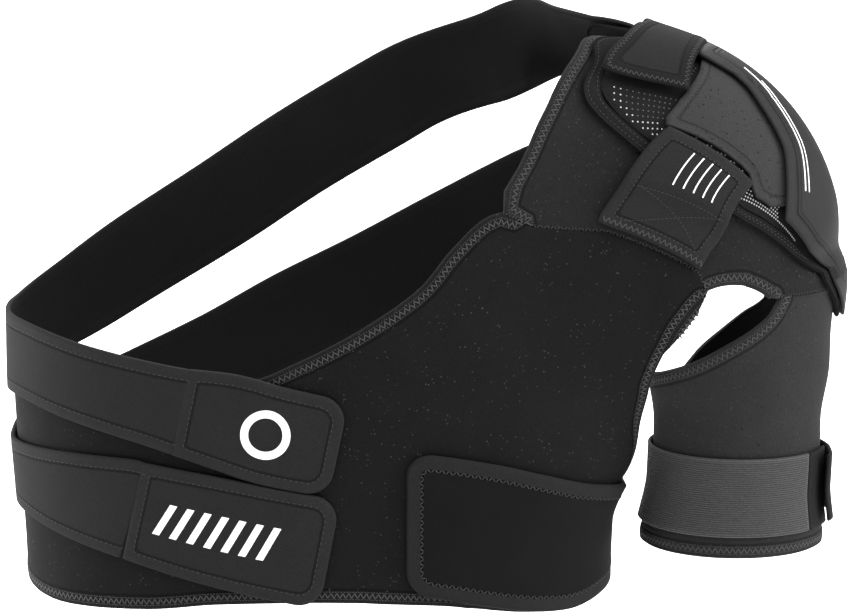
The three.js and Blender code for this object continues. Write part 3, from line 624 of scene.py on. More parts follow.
threads = np.concatenate([[CHEST_START], np.arange(-86.3, 60, 1.05), np.arange(60, 91.01, 0.5)])
on_seam = (threads > 41.9) & (threads < 68.5)
sewn_on = lambda i, j: i == 0 or (j == CHEST_ROWS and on_seam[i])
chest = cloth("chest_panel_cloth", chest_skin(threads), 0, CLOTH_WALL, bare=sewn_on)
finish_piece(chest, PANEL, ["chest_panel"])

# %% [markdown]
# ## Yoke
# The yoke covers the shoulder in a fan of rows from front to back. Its outer edge meets the sleeve at
# one height, so that edge is found by halving, as a pattern cutter would lay a tape round.

# %% Shoulder yoke
NECK_FRONT = [  # phi, psi
    (0, -18), (4.2, -20.8), (8.9, -27.1), (12.9, -29.5), (16, -32), (21.3, -38.2), (24.9, -45.4),
    (26.8, -51.8),
]
NECK_BACK = [
    (0, -18), (8.9, -22), (16, -29), (21.3, -35), (24.9, -41.5), (28.4, -48.5),
    (32.2, -49), (35.4, -46.5), (40.3, -41), (46.2, -34), (53.9, -27), (60.5, -25),
]
YOKE_FRONT = NECK_FRONT + [(phi, psi) for psi, phi in YOKE_SEAM]


def sleeve_seam(phi):
    near, far = np.zeros_like(phi), np.full_like(phi, 90.0)
    for _ in range(24):
        middle = (near + far) / 2
        above = over_shoulder(middle, phi).points[..., 2] > SLEEVE_SEAM + 0.8
        near, far = np.where(above, middle, near), np.where(above, far, middle)
    return near


yoke_rows = np.linspace(-60.5, 60.5, 122)
back_edge, front_edge = through(NECK_BACK, 1, -yoke_rows), through(YOKE_FRONT, 1, yoke_rows)
yoke_left, yoke_right = np.where(yoke_rows < 0, back_edge, front_edge), sleeve_seam(yoke_rows)
yoke_psi = mixed(yoke_left[:, None], yoke_right[:, None], np.linspace(0, 1, 82)[None])
neck_rows = (yoke_rows > -28) & (yoke_rows < 28.6)
sewn_on = lambda i, j: not (j == 0 and neck_rows[i]) and not (i in (0, 121) and j > 3)
yoke_skin = over_shoulder(yoke_psi, yoke_rows[:, None])
yoke = cloth("shoulder_yoke_cloth", yoke_skin, 0, CLOTH_WALL, bare=sewn_on)
finish_piece(yoke, YOKE, ["shoulder_yoke"])

# %% [markdown]
# ## Straps
# A strap is a flat web that follows a line. Across the line it lies on the skin, except behind the
# shoulder, where it stands off and turns from flat to upright, as a strap does when it leaves a
# shoulder for the back.

# %% Webs along a line
def corner_cut(left, corner):
    """How far a rounded corner draws the edge in, at a distance left from the end."""
    drawn_in = corner - np.sqrt(np.maximum(corner**2 - (corner - left) ** 2, 0))
    return np.where(left < corner, drawn_in, 0)


def web(spots, normals, widths, loose, count, across, corner=0):
    """A skin along the smooth line through spots, as wide as widths says."""
    knots = np.arange(len(spots))
    fine = np.linspace(0, len(spots) - 1, 1200)
    line = np.stack([smooth_line(knots, spots[:, k], fine) for k in range(3)], axis=-1)
    walked = np.concatenate([[0], np.cumsum(np.linalg.norm(np.diff(line, axis=0), axis=1))])
    total = walked[-1]
    s = np.linspace(0, total, count + 1)
    if corner:
        bend = total - corner * (1 - np.sin(np.linspace(0, np.pi / 2, 12)))
        s = np.unique(np.concatenate([s[s < total - corner], bend]))
    pick = lambda values: np.interp(s, walked, values)
    centre = np.stack([pick(line[:, k]) for k in range(3)], axis=-1)
    smooth_normals = [pick(smooth_line(knots, normals[:, k], fine)) for k in range(3)]
    away = unit(np.stack(smooth_normals, axis=-1))
    free = pick(np.interp(fine, knots, loose))[:, None]
    width = pick(smooth_line(knots, widths, fine))
    lying = settle(centre)
    centre = mixed(lying.points, centre, free)
    away = unit(mixed(lying.normals, away, free))
    side = unit(np.cross(np.gradient(centre, axis=0), away))
    reach = (width / 2 - corner_cut(total - s, corner))[:, None, None]
    points = centre[:, None] + side[:, None] * reach * np.linspace(-1, 1, across + 1)[None, :, None]
    lying = settle(points)
    free = free[:, None]
    normals = unit(mixed(lying.normals, away[:, None], free))
    return Skin(mixed(lying.points, points, free), normals), s / total


def round_rows(table, unit_width):
    angle, z, width = np.array(table, float).T
    skin = round_torso(angle, z * CHEST_HEIGHT)
    return skin.points, skin.normals, width * unit_width


# %% Strap routes
GRIP_CORNER = 13
OVER_SHOULDER = [(-20, 12, 0.7), (-15.3, 3, 0.6), (-15.5, -6, 0.62), (-19, -12.5, 0.74)]
BEHIND = [  # place, tilt from flat, width
    (0.975, 0.48, 1.329, 28, 0.83), (0.86, 0.61, 1.317, 43, 0.96), (0.78, 0.725, 1.317, 62, 1),
    (0.69, 0.8, 1.307, 88, 1), (0.585, 0.85, 1.27, 90, 1),
]
UPPER_ROUND = [  # angle, height, width
    (146, 1.203, 1), (160, 1.135, 1.02), (187.5, 1.01, 1.02), (212, 0.875, 1.02), (232, 0.742, 1),
    (245, 0.645, 0.96), (258, 0.592, 0.9), (272, 0.592, 0.86), (287, 0.59, 0.84), (301, 0.553, 0.84),
    (314, 0.518, 0.88), (322, 0.498, 0.93),
]
UPPER_GRIP = [(322, 0.498, 0.78), (334, 0.474, 0.87), (348, 0.44, 0.89), (368.6, 0.408, 0.87)]
LOWER_ROUND = [
    (113, 0.985, 0.96), (121, 0.925, 1), (137, 0.806, 1.04), (160, 0.68, 1.08), (187.5, 0.575, 1.08),
    (212, 0.468, 1.04), (232, 0.378, 0.98), (245, 0.334, 0.88), (258, 0.3, 0.76), (272, 0.287, 0.7),
    (285, 0.284, 0.77), (297, 0.268, 0.93), (309, 0.248, 1.08), (311, 0.243, 1.08),
]
LOWER_GRIP = [(311, 0.243, 0.9), (328, 0.203, 0.97), (345, 0.172, 0.99), (365.6, 0.142, 1)]

first, behind = np.array(OVER_SHOULDER), np.array(BEHIND)
top_skin = over_shoulder(*first[:, :2].T)
loose_points = behind[:, :3] * [CHEST_HALF_WIDTH, TORSO_HALF_DEPTH, CHEST_HEIGHT]
level_points = loose_points * [1, 1, 0] + [0, 0, TORSO_SIDE_HEIGHT]
sideways = outwards(level_points, torso_field)
tilt = np.radians(behind[:, 3:4])
loose_normals = unit(sideways * np.sin(tilt) + np.array([0, 0, 1.0]) * np.cos(tilt))
rest_points, rest_normals, rest_widths = round_rows(UPPER_ROUND, STRAP_WIDTH)
upper_skin, upper_s = web(
    np.concatenate([top_skin.points, loose_points, rest_points]),
    np.concatenate([top_skin.normals, loose_normals, rest_normals]),
    np.concatenate([first[:, 2] * STRAP_WIDTH, behind[:, 4] * STRAP_WIDTH, rest_widths]),
    np.concatenate([np.zeros(len(first)), np.ones(len(behind)), np.zeros(len(rest_points))]),
    330, 20,
)
upper_low = mixed(ON_BINDING, ON_CLOTH, smooth(upper_s, 0.17, 0.23))[:, None]
at_end = lambda i, j: i == len(upper_s) - 1
upper = cloth("upper_strap_web", upper_skin, upper_low, upper_low + STRAP_WALL, bare=at_end)
finish_piece(upper, STRAP, ["upper_strap"])


def lying_strap(name, table, unit_width, count, across, node, corner=0):
    rows = round_rows(table, unit_width)
    skin, _ = web(*rows, np.zeros(len(table)), count, across, corner)
    bare = None if corner else lambda i, j: i == count
    piece = cloth(name, skin, ON_CLOTH, ON_CLOTH + STRAP_WALL, bare=bare)
    return finish_piece(piece, STRAP, [node])


lower = lying_strap("lower_strap_web", LOWER_ROUND, STRAP_WIDTH, 260, 20, "lower_strap")
upper_grip, lower_grip = (
    lying_strap(name, table, GRIP_WIDTH, count, across, node, GRIP_CORNER)
    for name, table, count, across, node in (
        ("upper_strap_grip", UPPER_GRIP, 50, 24, "upper_strap_end"),
        ("lower_strap_grip", LOWER_GRIP, 56, 26, "lower_strap_end"),
    )
)


# %% [markdown]
# ## Torso band and its tab
# The band closes the brace round the ribs. It stands upright, so it is laid out by angle and height.
# The tab is its end, with rounded corners.

# %% Torso band and side tab
TAB_CORNER = 12
BAND = [  # angle, lower and upper edge
    (272, 0.045, 1.4), (262, 0.05, 1.26), (250, 0.04, 1.14), (220, 0.02, 1.04), (180, 0.02, 0.92),
    (140, 0.02, 0.78), (112, 0.02, 0.68), (99, 0.02, 0.64),
]
TAB_ROWS = [
    (98.4, 0.02, 0.64), (88, -0.01, 0.66), (77, -0.045, 0.73), (66.7, -0.085, 0.8),
    (58.6, -0.06, 0.885), (49.5, 0, 0.975), (39, 0.07, 1.04), (29.7, 0.11, 1.075),
]


def upright_band(table, shares, across, corner=0):
    rows = [(-angle, low, high) for angle, low, high in table]
    angle = mixed(table[0][0], table[-1][0], shares)
    low, high = (through(rows, k, -angle) * TAB_HEIGHT for k in (1, 2))
    if corner:
        radius = np.linalg.norm(round_torso(angle, low).points, axis=-1)
        cut = corner_cut(np.radians(np.abs(angle - table[-1][0])) * radius, corner)
        low, high = low + cut, high - cut
    height = mixed(low[:, None], high[:, None], np.linspace(0, 1, across + 1)[None])
    return round_torso(angle[:, None], height)


band_shares = np.linspace(0, 1, 161)
band_low = (ON_CLOTH * smooth(band_shares, 0.86, 0.95))[:, None]
band = cloth("torso_band_cloth", upright_band(BAND, band_shares, 24), band_low, band_low + CLOTH_WALL)
finish_piece(band, PANEL, ["torso_band"])
tab_bend = 0.9 + 0.1 * np.sin(np.linspace(0, np.pi / 2, 16)[1:])
tab_shares = np.concatenate([np.linspace(0, 0.9, 60), tab_bend])
tab_skin = upright_band(TAB_ROWS, tab_shares, 34, TAB_CORNER)
tab = cloth("side_tab_cloth", tab_skin, ON_CLOTH, ON_CLOTH + CLOTH_WALL)
finish_piece(tab, TAB, ["side_tab"])

# %% [markdown]
# ## Sleeve
# A tube round the upper arm. Its top edge follows the armhole, high on the outside and low in the
# armpit, and the elastic pulls its waist in.

# %% Sleeve, elastic, loop strip and hook tab
HOOK_WIDTH, HOOK_WALL = 38, 2
TOP_FRONT = [  # angle, share of the way from the underarm to the yoke
    (0, 1), (69.5, 1), (73.3, 0.86), (84.5, 0.68), (99, 0.51), (115, 0.345), (129, 0.235),
    (148, 0.13), (180, 0),
]
TOP_BACK = [
    (0, 1), (62, 1), (69, 0.66), (82, 0.5), (97, 0.3), (112, 0.11), (122, -0.03), (131, -0.12),
    (152, -0.06), (180, 0),
]
turns = np.linspace(-180, 180, 121)[:-1]
top_share = np.where(turns < 0, through(TOP_FRONT, 1, -turns), through(TOP_BACK, 1, turns))
sleeve_top = mixed(UNDERARM, SLEEVE_SEAM, top_share)
sleeve_heights = mixed(SLEEVE_HEM, sleeve_top[:, None], np.linspace(0, 1, 48)[None])
sleeve_skin = round_arm(turns[:, None], sleeve_heights)
sewn_on = lambda i, j: j == 47 and top_share[i] > 0.99
sleeve = cloth("arm_sleeve_cloth", sleeve_skin, 0, CLOTH_WALL, closed=True, bare=sewn_on)
finish_piece(sleeve, SLEEVE, ["arm_sleeve"])


def arm_patch(name, start, stop, width, low, thick, count):
    angle = np.linspace(start, stop, count)
    wrapped = np.where(angle < -180, angle + 360, angle)
    rise = ELASTIC_LOW + ELASTIC_WIDTH / 2 + width * np.linspace(-0.5, 0.5, 16)
    low = np.broadcast_to(low, (count,))[:, None]
    return cloth(name, round_arm(wrapped[:, None], rise[None]), low, low + thick)


elastic = arm_patch("sleeve_elastic_band", -40, -338, ELASTIC_WIDTH, ON_CLOTH, ELASTIC_WALL, 130)
finish_piece(elastic, ELASTIC, ["sleeve_elastic"])
strip = arm_patch("loop_strip_patch", -38.5, -12, ELASTIC_WIDTH, ON_CLOTH, ELASTIC_WALL, 16)
finish_piece(strip, HOOK, ["sleeve_loop_strip"])
off_elastic = 3 * (1 - smooth(np.linspace(0, 1, 30), 0, 0.4))
hook_low = ON_CLOTH + ELASTIC_WALL + LAYER_GAP + off_elastic
hook = arm_patch("hook_tab_patch", -26, 34, HOOK_WIDTH, hook_low, HOOK_WALL, 30)
finish_piece(hook, HOOK, ["sleeve_hook_tab"])

# %% [markdown]
# ## The cap on the shoulder
# Four layers lie on the yoke: spacer mesh inside a folded binding, a dotted overlay, and a shell over
# the outside. Front and back are the same, so each of their tables gives one half. A keeper holds the
# strap on top, and its table runs from back to front.

# %% Patches on the shoulder
MESH_ROWS = [  # phi, and psi of both sides
    (0, -14.5, 79), (4.2, -16.6, 78.6), (8.9, -20.9, 76.3), (14.5, -27, 72), (18.6, -29.8, 68),
    (20.5, -29.2, 65), (22.7, -27, 61), (25, -24, 56.5), (28.5, -17.5, 48.5), (32, -10.5, 36.5),
    (34, -4.5, 26), (35.6, 0, 13),
]
BINDING_ROWS = [
    (0, -17, 85), (5, -19.6, 84.5), (9.6, -26.4, 82), (14.4, -28.8, 77), (19, -32.8, 73),
    (21.2, -33, 70), (24.2, -30.2, 66.5), (27.6, -26.6, 61), (31.5, -20, 52.5), (35.4, -11.8, 43.5),
    (37.9, -5, 31), (39.2, 4, 18),
]
OVERLAY_ROWS = [
    (0, -5.5, 29), (6, -8.5, 28), (10.4, -9.6, 27), (14, -11.8, 25.5), (18.8, -16.5, 23), (22, -20, 20.6),
    (23.4, -12.8, 19.6), (25.3, -5.5, 18.4), (27.6, 1.3, 17), (29.5, 2, 14.5), (31.7, 4.2, 10.5),
]
SHELL_ROWS = [
    (0, -7.5, 84), (3, -8.5, 83.5), (7.2, -9.8, 82), (8.4, -3, 81), (10, 0.3, 79.5), (12, 2.7, 78),
    (15, 7.1, 74.5), (17.6, 10.3, 71), (22, 12.4, 65), (26.3, 14.1, 57), (30, 15.4, 47), (32.9, 16.4, 34),
]
KEEPER_ROWS = [
    (-9, -19.4, -10.6), (-4, -18.7, -9.4), (0, -18.3, -8.1), (5.2, -20.6, -9.4), (10, -23.8, -11.4),
    (13, -26.6, -12.6), (16, -29.2, -13.6),
]


def shoulder_patch(table, rows, columns):
    first, last = table[0][0], table[-1][0]
    phi = np.linspace(first if first < 0 else -last, last, rows)
    row = phi if first < 0 else np.abs(phi)
    left, right = (through(table, k, row)[:, None] for k in (1, 2))
    psi = mixed(left, right, np.linspace(0, 1, columns)[None])
    return over_shoulder(psi, phi[:, None]), psi


mesh_skin, _ = shoulder_patch(MESH_ROWS, 70, 60)
pad = cloth("pad_mesh_cloth", mesh_skin, ON_CLOTH, ON_CLOTH + MESH_WALL)
finish_piece(pad, MESH, ["pad_mesh"])


def edge_loop(table, count):
    """The closed edge of a mirrored patch, as psi and phi."""
    rows = np.array(table, float)
    front = np.concatenate([rows[:, [1, 0]], rows[::-1][:, [2, 0]]])
    back = front[::-1] * [1, -1]
    ring = np.concatenate([front[:-1], back[:-1]])
    knots = np.arange(len(ring) + 6) - 3
    wrapped = np.concatenate([ring[-3:], ring, ring[:3]])
    at = np.linspace(3, len(ring) + 3, count + 1)[:-1]
    return np.stack([smooth_line(knots, wrapped[:, k], at) for k in range(2)], axis=-1)


inner, outer = edge_loop(MESH_ROWS, 260), edge_loop(BINDING_ROWS, 260)
share = np.linspace(0.14, 1, 10)[None, :, None]
ring = mixed(inner[:, None], outer[:, None], share)
binding_skin = over_shoulder(ring[..., 0], ring[..., 1])
crown = 0.5 * np.sin(np.linspace(0, np.pi, 10))[None]
binding_high = ON_CLOTH + BINDING_WALL + crown
binding = cloth("pad_binding_fold", binding_skin, ON_CLOTH, binding_high, closed=True)
finish_piece(binding, BINDING, ["pad_binding"])

overlay_skin, _ = shoulder_patch(OVERLAY_ROWS, 60, 40)
overlay = cloth("cap_overlay_pad", overlay_skin, ON_MESH, ON_MESH + PAD_WALL)
finish_piece(overlay, OVERLAY, ["cap_overlay"])

shell_skin, shell_psi = shoulder_patch(SHELL_ROWS, 60, 70)
shell_low = mixed(ON_OVERLAY, ON_BINDING, smooth(shell_psi, 32, 50))
shell = cloth("cap_shell_pad", shell_skin, shell_low, shell_low + PAD_WALL)
finish_piece(shell, SHELL, ["cap_shell"])

keeper_skin, _ = shoulder_patch(KEEPER_ROWS, 46, 18)
keeper = cloth("top_keeper_web", keeper_skin, ON_STRAP_END, ON_STRAP_END + KEEPER_WALL)
finish_piece(keeper, KEEPER, ["top_keeper"])

# %% [markdown]
# Foam fills the overlay and the shell, so their faces swell between the seams. A cloth simulation
# blows them up a little: the inner face and the sewn edge are held, pressure pushes the outer face
# out, and no point may travel as far as the gap to the layer above, which is 1.6 mm.

# %% Padding by cloth simulation
PRESSURE, CAP, FRAMES = 70.0, 0.0013, 16
HELD_EDGE = 2.5  # millimetres


def puff(piece):
    mesh = piece.data
    count = len(mesh.vertices)
    edge, inside, before = np.zeros(count), np.zeros(count), np.zeros(count * 3)
    mesh.attributes["edge"].data.foreach_get("value", edge)
    mesh.attributes["inside"].data.foreach_get("value", inside)
    mesh.vertices.foreach_get("co", before)
    held = piece.vertex_groups.new(name="held")
    held.add([int(k) for k in np.nonzero((inside > 0.4) | (edge < HELD_EDGE))[0]], 1.0, "REPLACE")
    modifier = piece.modifiers.new("swell", "CLOTH")
    settings = modifier.settings
    settings.quality, settings.mass = 5, 0.1
    settings.tension_stiffness = settings.compression_stiffness = 12
    settings.vertex_group_mass = "held"
    settings.use_pressure, settings.uniform_pressure_force = True, PRESSURE
    settings.effector_weights.gravity = 0
    modifier.point_cache.frame_start, modifier.point_cache.frame_end = 1, FRAMES
    for number in range(1, FRAMES + 1):
        bpy.context.scene.frame_set(number)
    swollen = piece.evaluated_get(bpy.context.evaluated_depsgraph_get()).to_mesh()
    after = np.zeros(count * 3)
    swollen.vertices.foreach_get("co", after)
    piece.modifiers.remove(modifier)
    piece.vertex_groups.clear()
    bpy.context.scene.frame_set(1)
    step = (after - before).reshape(-1, 3)
    far = np.linalg.norm(step, axis=1)
    step *= (CAP * np.tanh(far / CAP) / np.maximum(far, 1e-9))[:, None]
    moved = before.reshape(-1, 3) + step
    mesh.vertices.foreach_set("co", moved.ravel())
    mesh.update()
    over, normals, edge_mm, closed = GRIDS[piece.name]
    face = moved[edge_mm.size : 2 * edge_mm.size] * 1000 + SEAT
    GRIDS[piece.name] = (face.reshape(over.shape), normals, edge_mm, closed)
    print(f"{piece.name}: swelled up to {np.linalg.norm(step, axis=1).max() * 1000:.1f} mm")


puff(overlay)
puff(shell)

# %% [markdown]
# The anchor tab is laid out as shares of itself: u across and v down. Its upper part lies on the
# binding and its lower part on the yoke.

# %% Anchor tab
ANCHOR_ROWS = [  # row, psi and phi of the left corner, psi and phi of the right one
    (0, -19.7, 22.6, 1.9, 29.4), (1, -31.3, 28, -5.7, 36.9), (2, -39.5, 31.2, -11.8, 43.9),
    (3, -48.6, 33.5, -28.9, 52.4),
]


def anchor_skin(u, v):
    at = np.asarray(v, float) * 3
    left_psi, left_phi, right_psi, right_phi = (through(ANCHOR_ROWS, k, at) for k in (1, 2, 3, 4))
    return over_shoulder(mixed(left_psi, right_psi, u), mixed(left_phi, right_phi, u))


def anchor_low(v):
    return mixed(ON_BINDING, ON_CLOTH, smooth(v, 0.42, 0.75))


v = np.linspace(0, 1, 46)[:, None]
spots, low = anchor_skin(np.linspace(0, 1, 30)[None], v), anchor_low(v)
anchor = cloth("anchor_tab_cloth", spots, low, low + STRAP_WALL)
finish_piece(anchor, STRAP, ["anchor_tab"])

# %% [markdown]
# ## Thread
# Every border is sewn. A seam runs at an even distance from a cut edge, and each grid already knows
# that distance, so a seam is a contour line of it, as on a map. Geometry Nodes walk the contour, drop
# a small thread at every step, stand it on the cloth and lean it left and right in turn.

# %% Contour lines of a sheet
def contour(name, level, keep=None):
    """Points, outward directions and links of the line at level millimetres from the cut edge.
    keep, if given, says which places stay."""
    points, normals, edge, closed = GRIDS[name]
    rows = edge.shape[0]
    places, outs, index, links = [], [], {}, []

    def crossing(a, b):
        key = tuple(sorted(((a[0] % rows, a[1]), (b[0] % rows, b[1]))))
        if key not in index:
            p, q = key
            share = (level - edge[p]) / (edge[q] - edge[p])
            index[key] = len(places)
            places.append(points[p] + (points[q] - points[p]) * share)
            outs.append(normals[p])
        return index[key]

    above = edge > level
    if closed:
        above = np.concatenate([above, above[:1]])
    corners = above[:-1, :-1].astype(int) + above[:-1, 1:] + above[1:, 1:] + above[1:, :-1]
    for i, j in zip(*np.nonzero((corners > 0) & (corners < 4))):
        ring = [(i, j), (i, j + 1), (i + 1, j + 1), (i + 1, j)]
        cuts = [crossing(a, b) for a, b in zip(ring, ring[1:] + ring[:1]) if above[a] != above[b]]
        links += [cuts[k : k + 2] for k in range(0, len(cuts), 2)]
    places, outs = np.array(places), np.array(outs)
    if keep:
        links = [link for link in links if keep(places[link].mean(axis=0))]
    return places, outs, links


def path(points, outs):
    return points, outs, [(k, k + 1) for k in range(len(points) - 1)]


# %% The thread tree
def new_tree(name, inputs):
    group = bpy.data.node_groups.new(name, "GeometryNodeTree")
    group.interface.new_socket("Geometry", in_out="INPUT", socket_type="NodeSocketGeometry")
    for label, kind in inputs:
        group.interface.new_socket(label, in_out="INPUT", socket_type=kind)
    group.interface.new_socket("Geometry", in_out="OUTPUT", socket_type="NodeSocketGeometry")
    tree, start = Tree(group), group.nodes.new("NodeGroupInput")
    return group, tree, {socket.name: Wire(tree, socket) for socket in start.outputs if socket.name}


def standing(tree):
    """The turn that stands an instance on the cloth, and a small ball to stand there."""
    out = tree.add("GeometryNodeInputNamedAttribute", {"data_type": "FLOAT_VECTOR"}, {"Name": "out"})
    turn = tree.add("FunctionNodeAlignRotationToVector", {"axis": "Z"}, {"Vector": out})
    ball = {"Segments": 6, "Rings": 4, "Radius": 0.5}
    return turn, tree.add("GeometryNodeMeshUVSphere", None, ball)


def thread_tree():
    group, tree, given = new_tree("thread along a seam", [
        ("Pitch", "NodeSocketFloat"), ("Length", "NodeSocketFloat"), ("Thickness", "NodeSocketFloat"),
        ("Lean", "NodeSocketFloat"), ("Material", "NodeSocketMaterial"),
    ])
    line = tree.add("GeometryNodeMeshToCurve", None, {"Mesh": given["Geometry"]})
    steps = {"Curve": line, "Length": given["Pitch"]}
    line = tree.add("GeometryNodeResampleCurve", {"mode": "LENGTH"}, steps)
    odd = tree.sum("MODULO", tree.add("GeometryNodeInputIndex"), 2.0)
    lean = (odd * 2 - 1) * given["Lean"]
    stand, ball = standing(tree)
    along = {"Rotation": stand, "Vector": tree.add("GeometryNodeInputTangent")}
    turn = tree.add("FunctionNodeAlignRotationToVector", {"axis": "X", "pivot_axis": "Z"}, along)
    by = tree.add("FunctionNodeAxisAngleToRotation", None, {"Axis": (0, 0, 1), "Angle": lean})
    leaning = {"Rotation": turn, "Rotate By": by}
    turn = tree.add("FunctionNodeRotateRotation", {"rotation_space": "LOCAL"}, leaning)
    sizes = {"X": given["Length"], "Y": given["Thickness"], "Z": given["Thickness"] * 0.6}
    size = tree.add("ShaderNodeCombineXYZ", None, sizes)
    stitches = {"Points": line, "Instance": ball, "Rotation": turn, "Scale": size}
    stitches = tree.add("GeometryNodeInstanceOnPoints", None, stitches)
    return end_tree(group, tree, stitches, given["Material"])


def end_tree(group, tree, instances, material):
    real = tree.add("GeometryNodeRealizeInstances", None, {"Geometry": instances})
    real = tree.add("GeometryNodeSetShadeSmooth", None, {"Geometry": real})
    real = tree.add("GeometryNodeSetMaterial", None, {"Geometry": real, "Material": material})
    end = group.nodes.new("NodeGroupOutput")
    group.links.new(real.socket, end.inputs["Geometry"])
    return group


THREAD_TREE = thread_tree()
THREAD_LIFT = 0.12  # millimetres off the cloth
BALL_CORNERS = 20


def grown(name, places, outs, links, group, values):
    """A mesh grown by a Geometry Nodes tree along links, or on places where there are none."""
    seed = bpy.data.meshes.new(name)
    spots = [tuple(p) for p in (places - SEAT) / 1000]
    seed.from_pydata(spots, [tuple(int(k) for k in link) for link in links], [])
    piece = bpy.data.objects.new(name + "_seed", seed)
    bpy.context.collection.objects.link(piece)
    write_vector(piece, "out", outs)
    modifier = piece.modifiers.new("grow", "NODES")
    modifier.node_group = group
    for item in group.interface.items_tree:
        if item.in_out == "INPUT" and item.name in values:
            modifier[item.identifier] = values[item.name]
    view = bpy.context.evaluated_depsgraph_get()
    mesh = bpy.data.meshes.new_from_object(piece.evaluated_get(view))
    bpy.data.objects.remove(piece)
    result = bpy.data.objects.new(name, mesh)
    bpy.context.collection.objects.link(result)
    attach(result, "root")
    return result


def sew(name, lines, pitch, length, thickness, lean):
    """Threads along several lines, in millimetres and degrees."""
    places = np.concatenate([points + outs * THREAD_LIFT for points, outs, _ in lines])
    outs = np.concatenate([outs for _, outs, _ in lines])
    links, start = [], 0
    for points, _, pairs in lines:
        links += [(a + start, b + start) for a, b in pairs]
        start += len(points)
    values = {"Pitch": pitch / 1000, "Length": length / 1000, "Thickness": thickness / 1000,
              "Lean": math.radians(lean), "Material": THREAD}
    piece = grown(name, places, outs, links, THREAD_TREE, values)
    print(f"{name}: {len(piece.data.vertices) // BALL_CORNERS} threads")


# %% [markdown]
# The cloth edges get a flat seam: a zigzag between two straight rows. The side tab gets a zigzag and
# the keeper an overlock, and the other borders get one running row. Where two cloths meet, a zigzag
# joins them.

# %% Seams of the cloths
SEAM_MIDDLE, SEAM_WIDTH = 3.6, 4.0
FLAT_SEAMS = (
    ("chest_seam", "chest_panel_cloth"), ("yoke_seam", "shoulder_yoke_cloth"),
    ("sleeve_seam", "arm_sleeve_cloth"),
)
for name, sheet in FLAT_SEAMS:
    both_sides = [contour(sheet, SEAM_MIDDLE + side * SEAM_WIDTH / 2) for side in (-1, 1)]
    sew(name + "_zigzag", [contour(sheet, SEAM_MIDDLE)], 1.6, SEAM_WIDTH * 1.08, 0.74, 60)
    sew(name + "_rows", both_sides, 1.6, 1.1, 0.5, 0)

STRAP_ROW = (5.2, 3.1, 1.9, 0.38, 0)
BORDERS = [  # name, sheet, distance from the edge, then pitch, length, thickness and lean
    ("tab_zigzag", "side_tab_cloth", 7.2, 2.0, 2.8, 0.5, 50),
    ("upper_strap_web_row", "upper_strap_web", *STRAP_ROW),
    ("lower_strap_web_row", "lower_strap_web", *STRAP_ROW),
    ("upper_strap_grip_row", "upper_strap_grip", *STRAP_ROW),
    ("lower_strap_grip_row", "lower_strap_grip", *STRAP_ROW),
    ("torso_band_cloth_row", "torso_band_cloth", *STRAP_ROW),
    ("keeper_overlock", "top_keeper_web", 2.0, 1.5, 3.4, 0.42, 62),
    ("binding_row", "pad_binding_fold", 2.2, 2.6, 1.6, 0.36, 0),
    ("anchor_rows", "anchor_tab_cloth", 5.5, 2.6, 1.7, 0.4, 0),
    ("overlay_row", "cap_overlay_pad", 4.0, 2.6, 1.5, 0.36, 0),
]
for name, sheet, level, *thread in BORDERS:
    sew(name, [contour(sheet, level)], *thread)

seam_at = np.linspace(0, 7, 90)
seam_line = [np.interp(seam_at, np.arange(8), column) for column in np.array(YOKE_SEAM).T]
JOINS = [  # name, line, length of a thread, lean
    ("yoke_chest_seam", over_shoulder(*seam_line), 2.2, 55),
    ("chest_band_seam", round_torso(-87.68, np.linspace(5, 108, 60)), 3.4, 62),
    ("yoke_sleeve_seam", over_shoulder(yoke_right, yoke_rows), 2.4, 62),
]
for name, line, length, lean in JOINS:
    sew(name, [path(line.points + line.normals * CLOTH_WALL, line.normals)], 1.9, length, 0.42, lean)

# %% [markdown]
# A stitched cross under a line holds the anchor tab, and an overlock closes its lower end.

# %% Box stitch of the anchor tab
def on_anchor(u, v):
    """Spots on the tab, and the directions away from it."""
    skin = anchor_skin(u, v)
    return skin.points + skin.normals * (anchor_low(v) + STRAP_WALL)[..., None], skin.normals


BOX = [((0.1, 0.54), (0.93, 0.54)), ((0.12, 0.54), (0.9, 0.93)), ((0.9, 0.54), (0.12, 0.93))]
t = np.linspace(0, 1, 24)
box_lines = [path(*on_anchor(mixed(u1, u2, t), mixed(v1, v2, t))) for (u1, v1), (u2, v2) in BOX]
sew("anchor_box", box_lines, 2.2, 1.6, 0.34, 0)
t = np.linspace(0.02, 0.98, 40)
sew("anchor_overlock", [path(*on_anchor(t, np.full_like(t, 0.965)))], 1.6, 3.8, 0.7, 60)

# %% [markdown]
# ## Openings of the spacer mesh
# The pad shows between the other layers as an open mesh: pale dots in staggered rows, darker where
# the cap shades them. Only the dots that nothing covers are made.

# %% Mesh openings
def under(table, psi, phi, margin):
    row = np.abs(phi) if table[0][0] >= 0 else phi
    inside = (row <= table[-1][0] + margin) & (row >= table[0][0] - margin)
    inside &= psi > through(table, 1, row) - margin
    return inside & (psi < through(table, 2, row) + margin)


def under_anchor(psi, phi):
    corners = [row[1:3] for row in ANCHOR_ROWS] + [row[3:] for row in ANCHOR_ROWS[::-1]]
    hit = np.zeros(psi.shape, bool)
    for (x1, y1), (x2, y2) in zip(corners, corners[1:] + corners[:1]):
        crosses = (y1 > phi) != (y2 > phi)
        hit ^= crosses & (psi < (x2 - x1) * (phi - y1) / (y2 - y1 + 1e-9) + x1)
    return hit


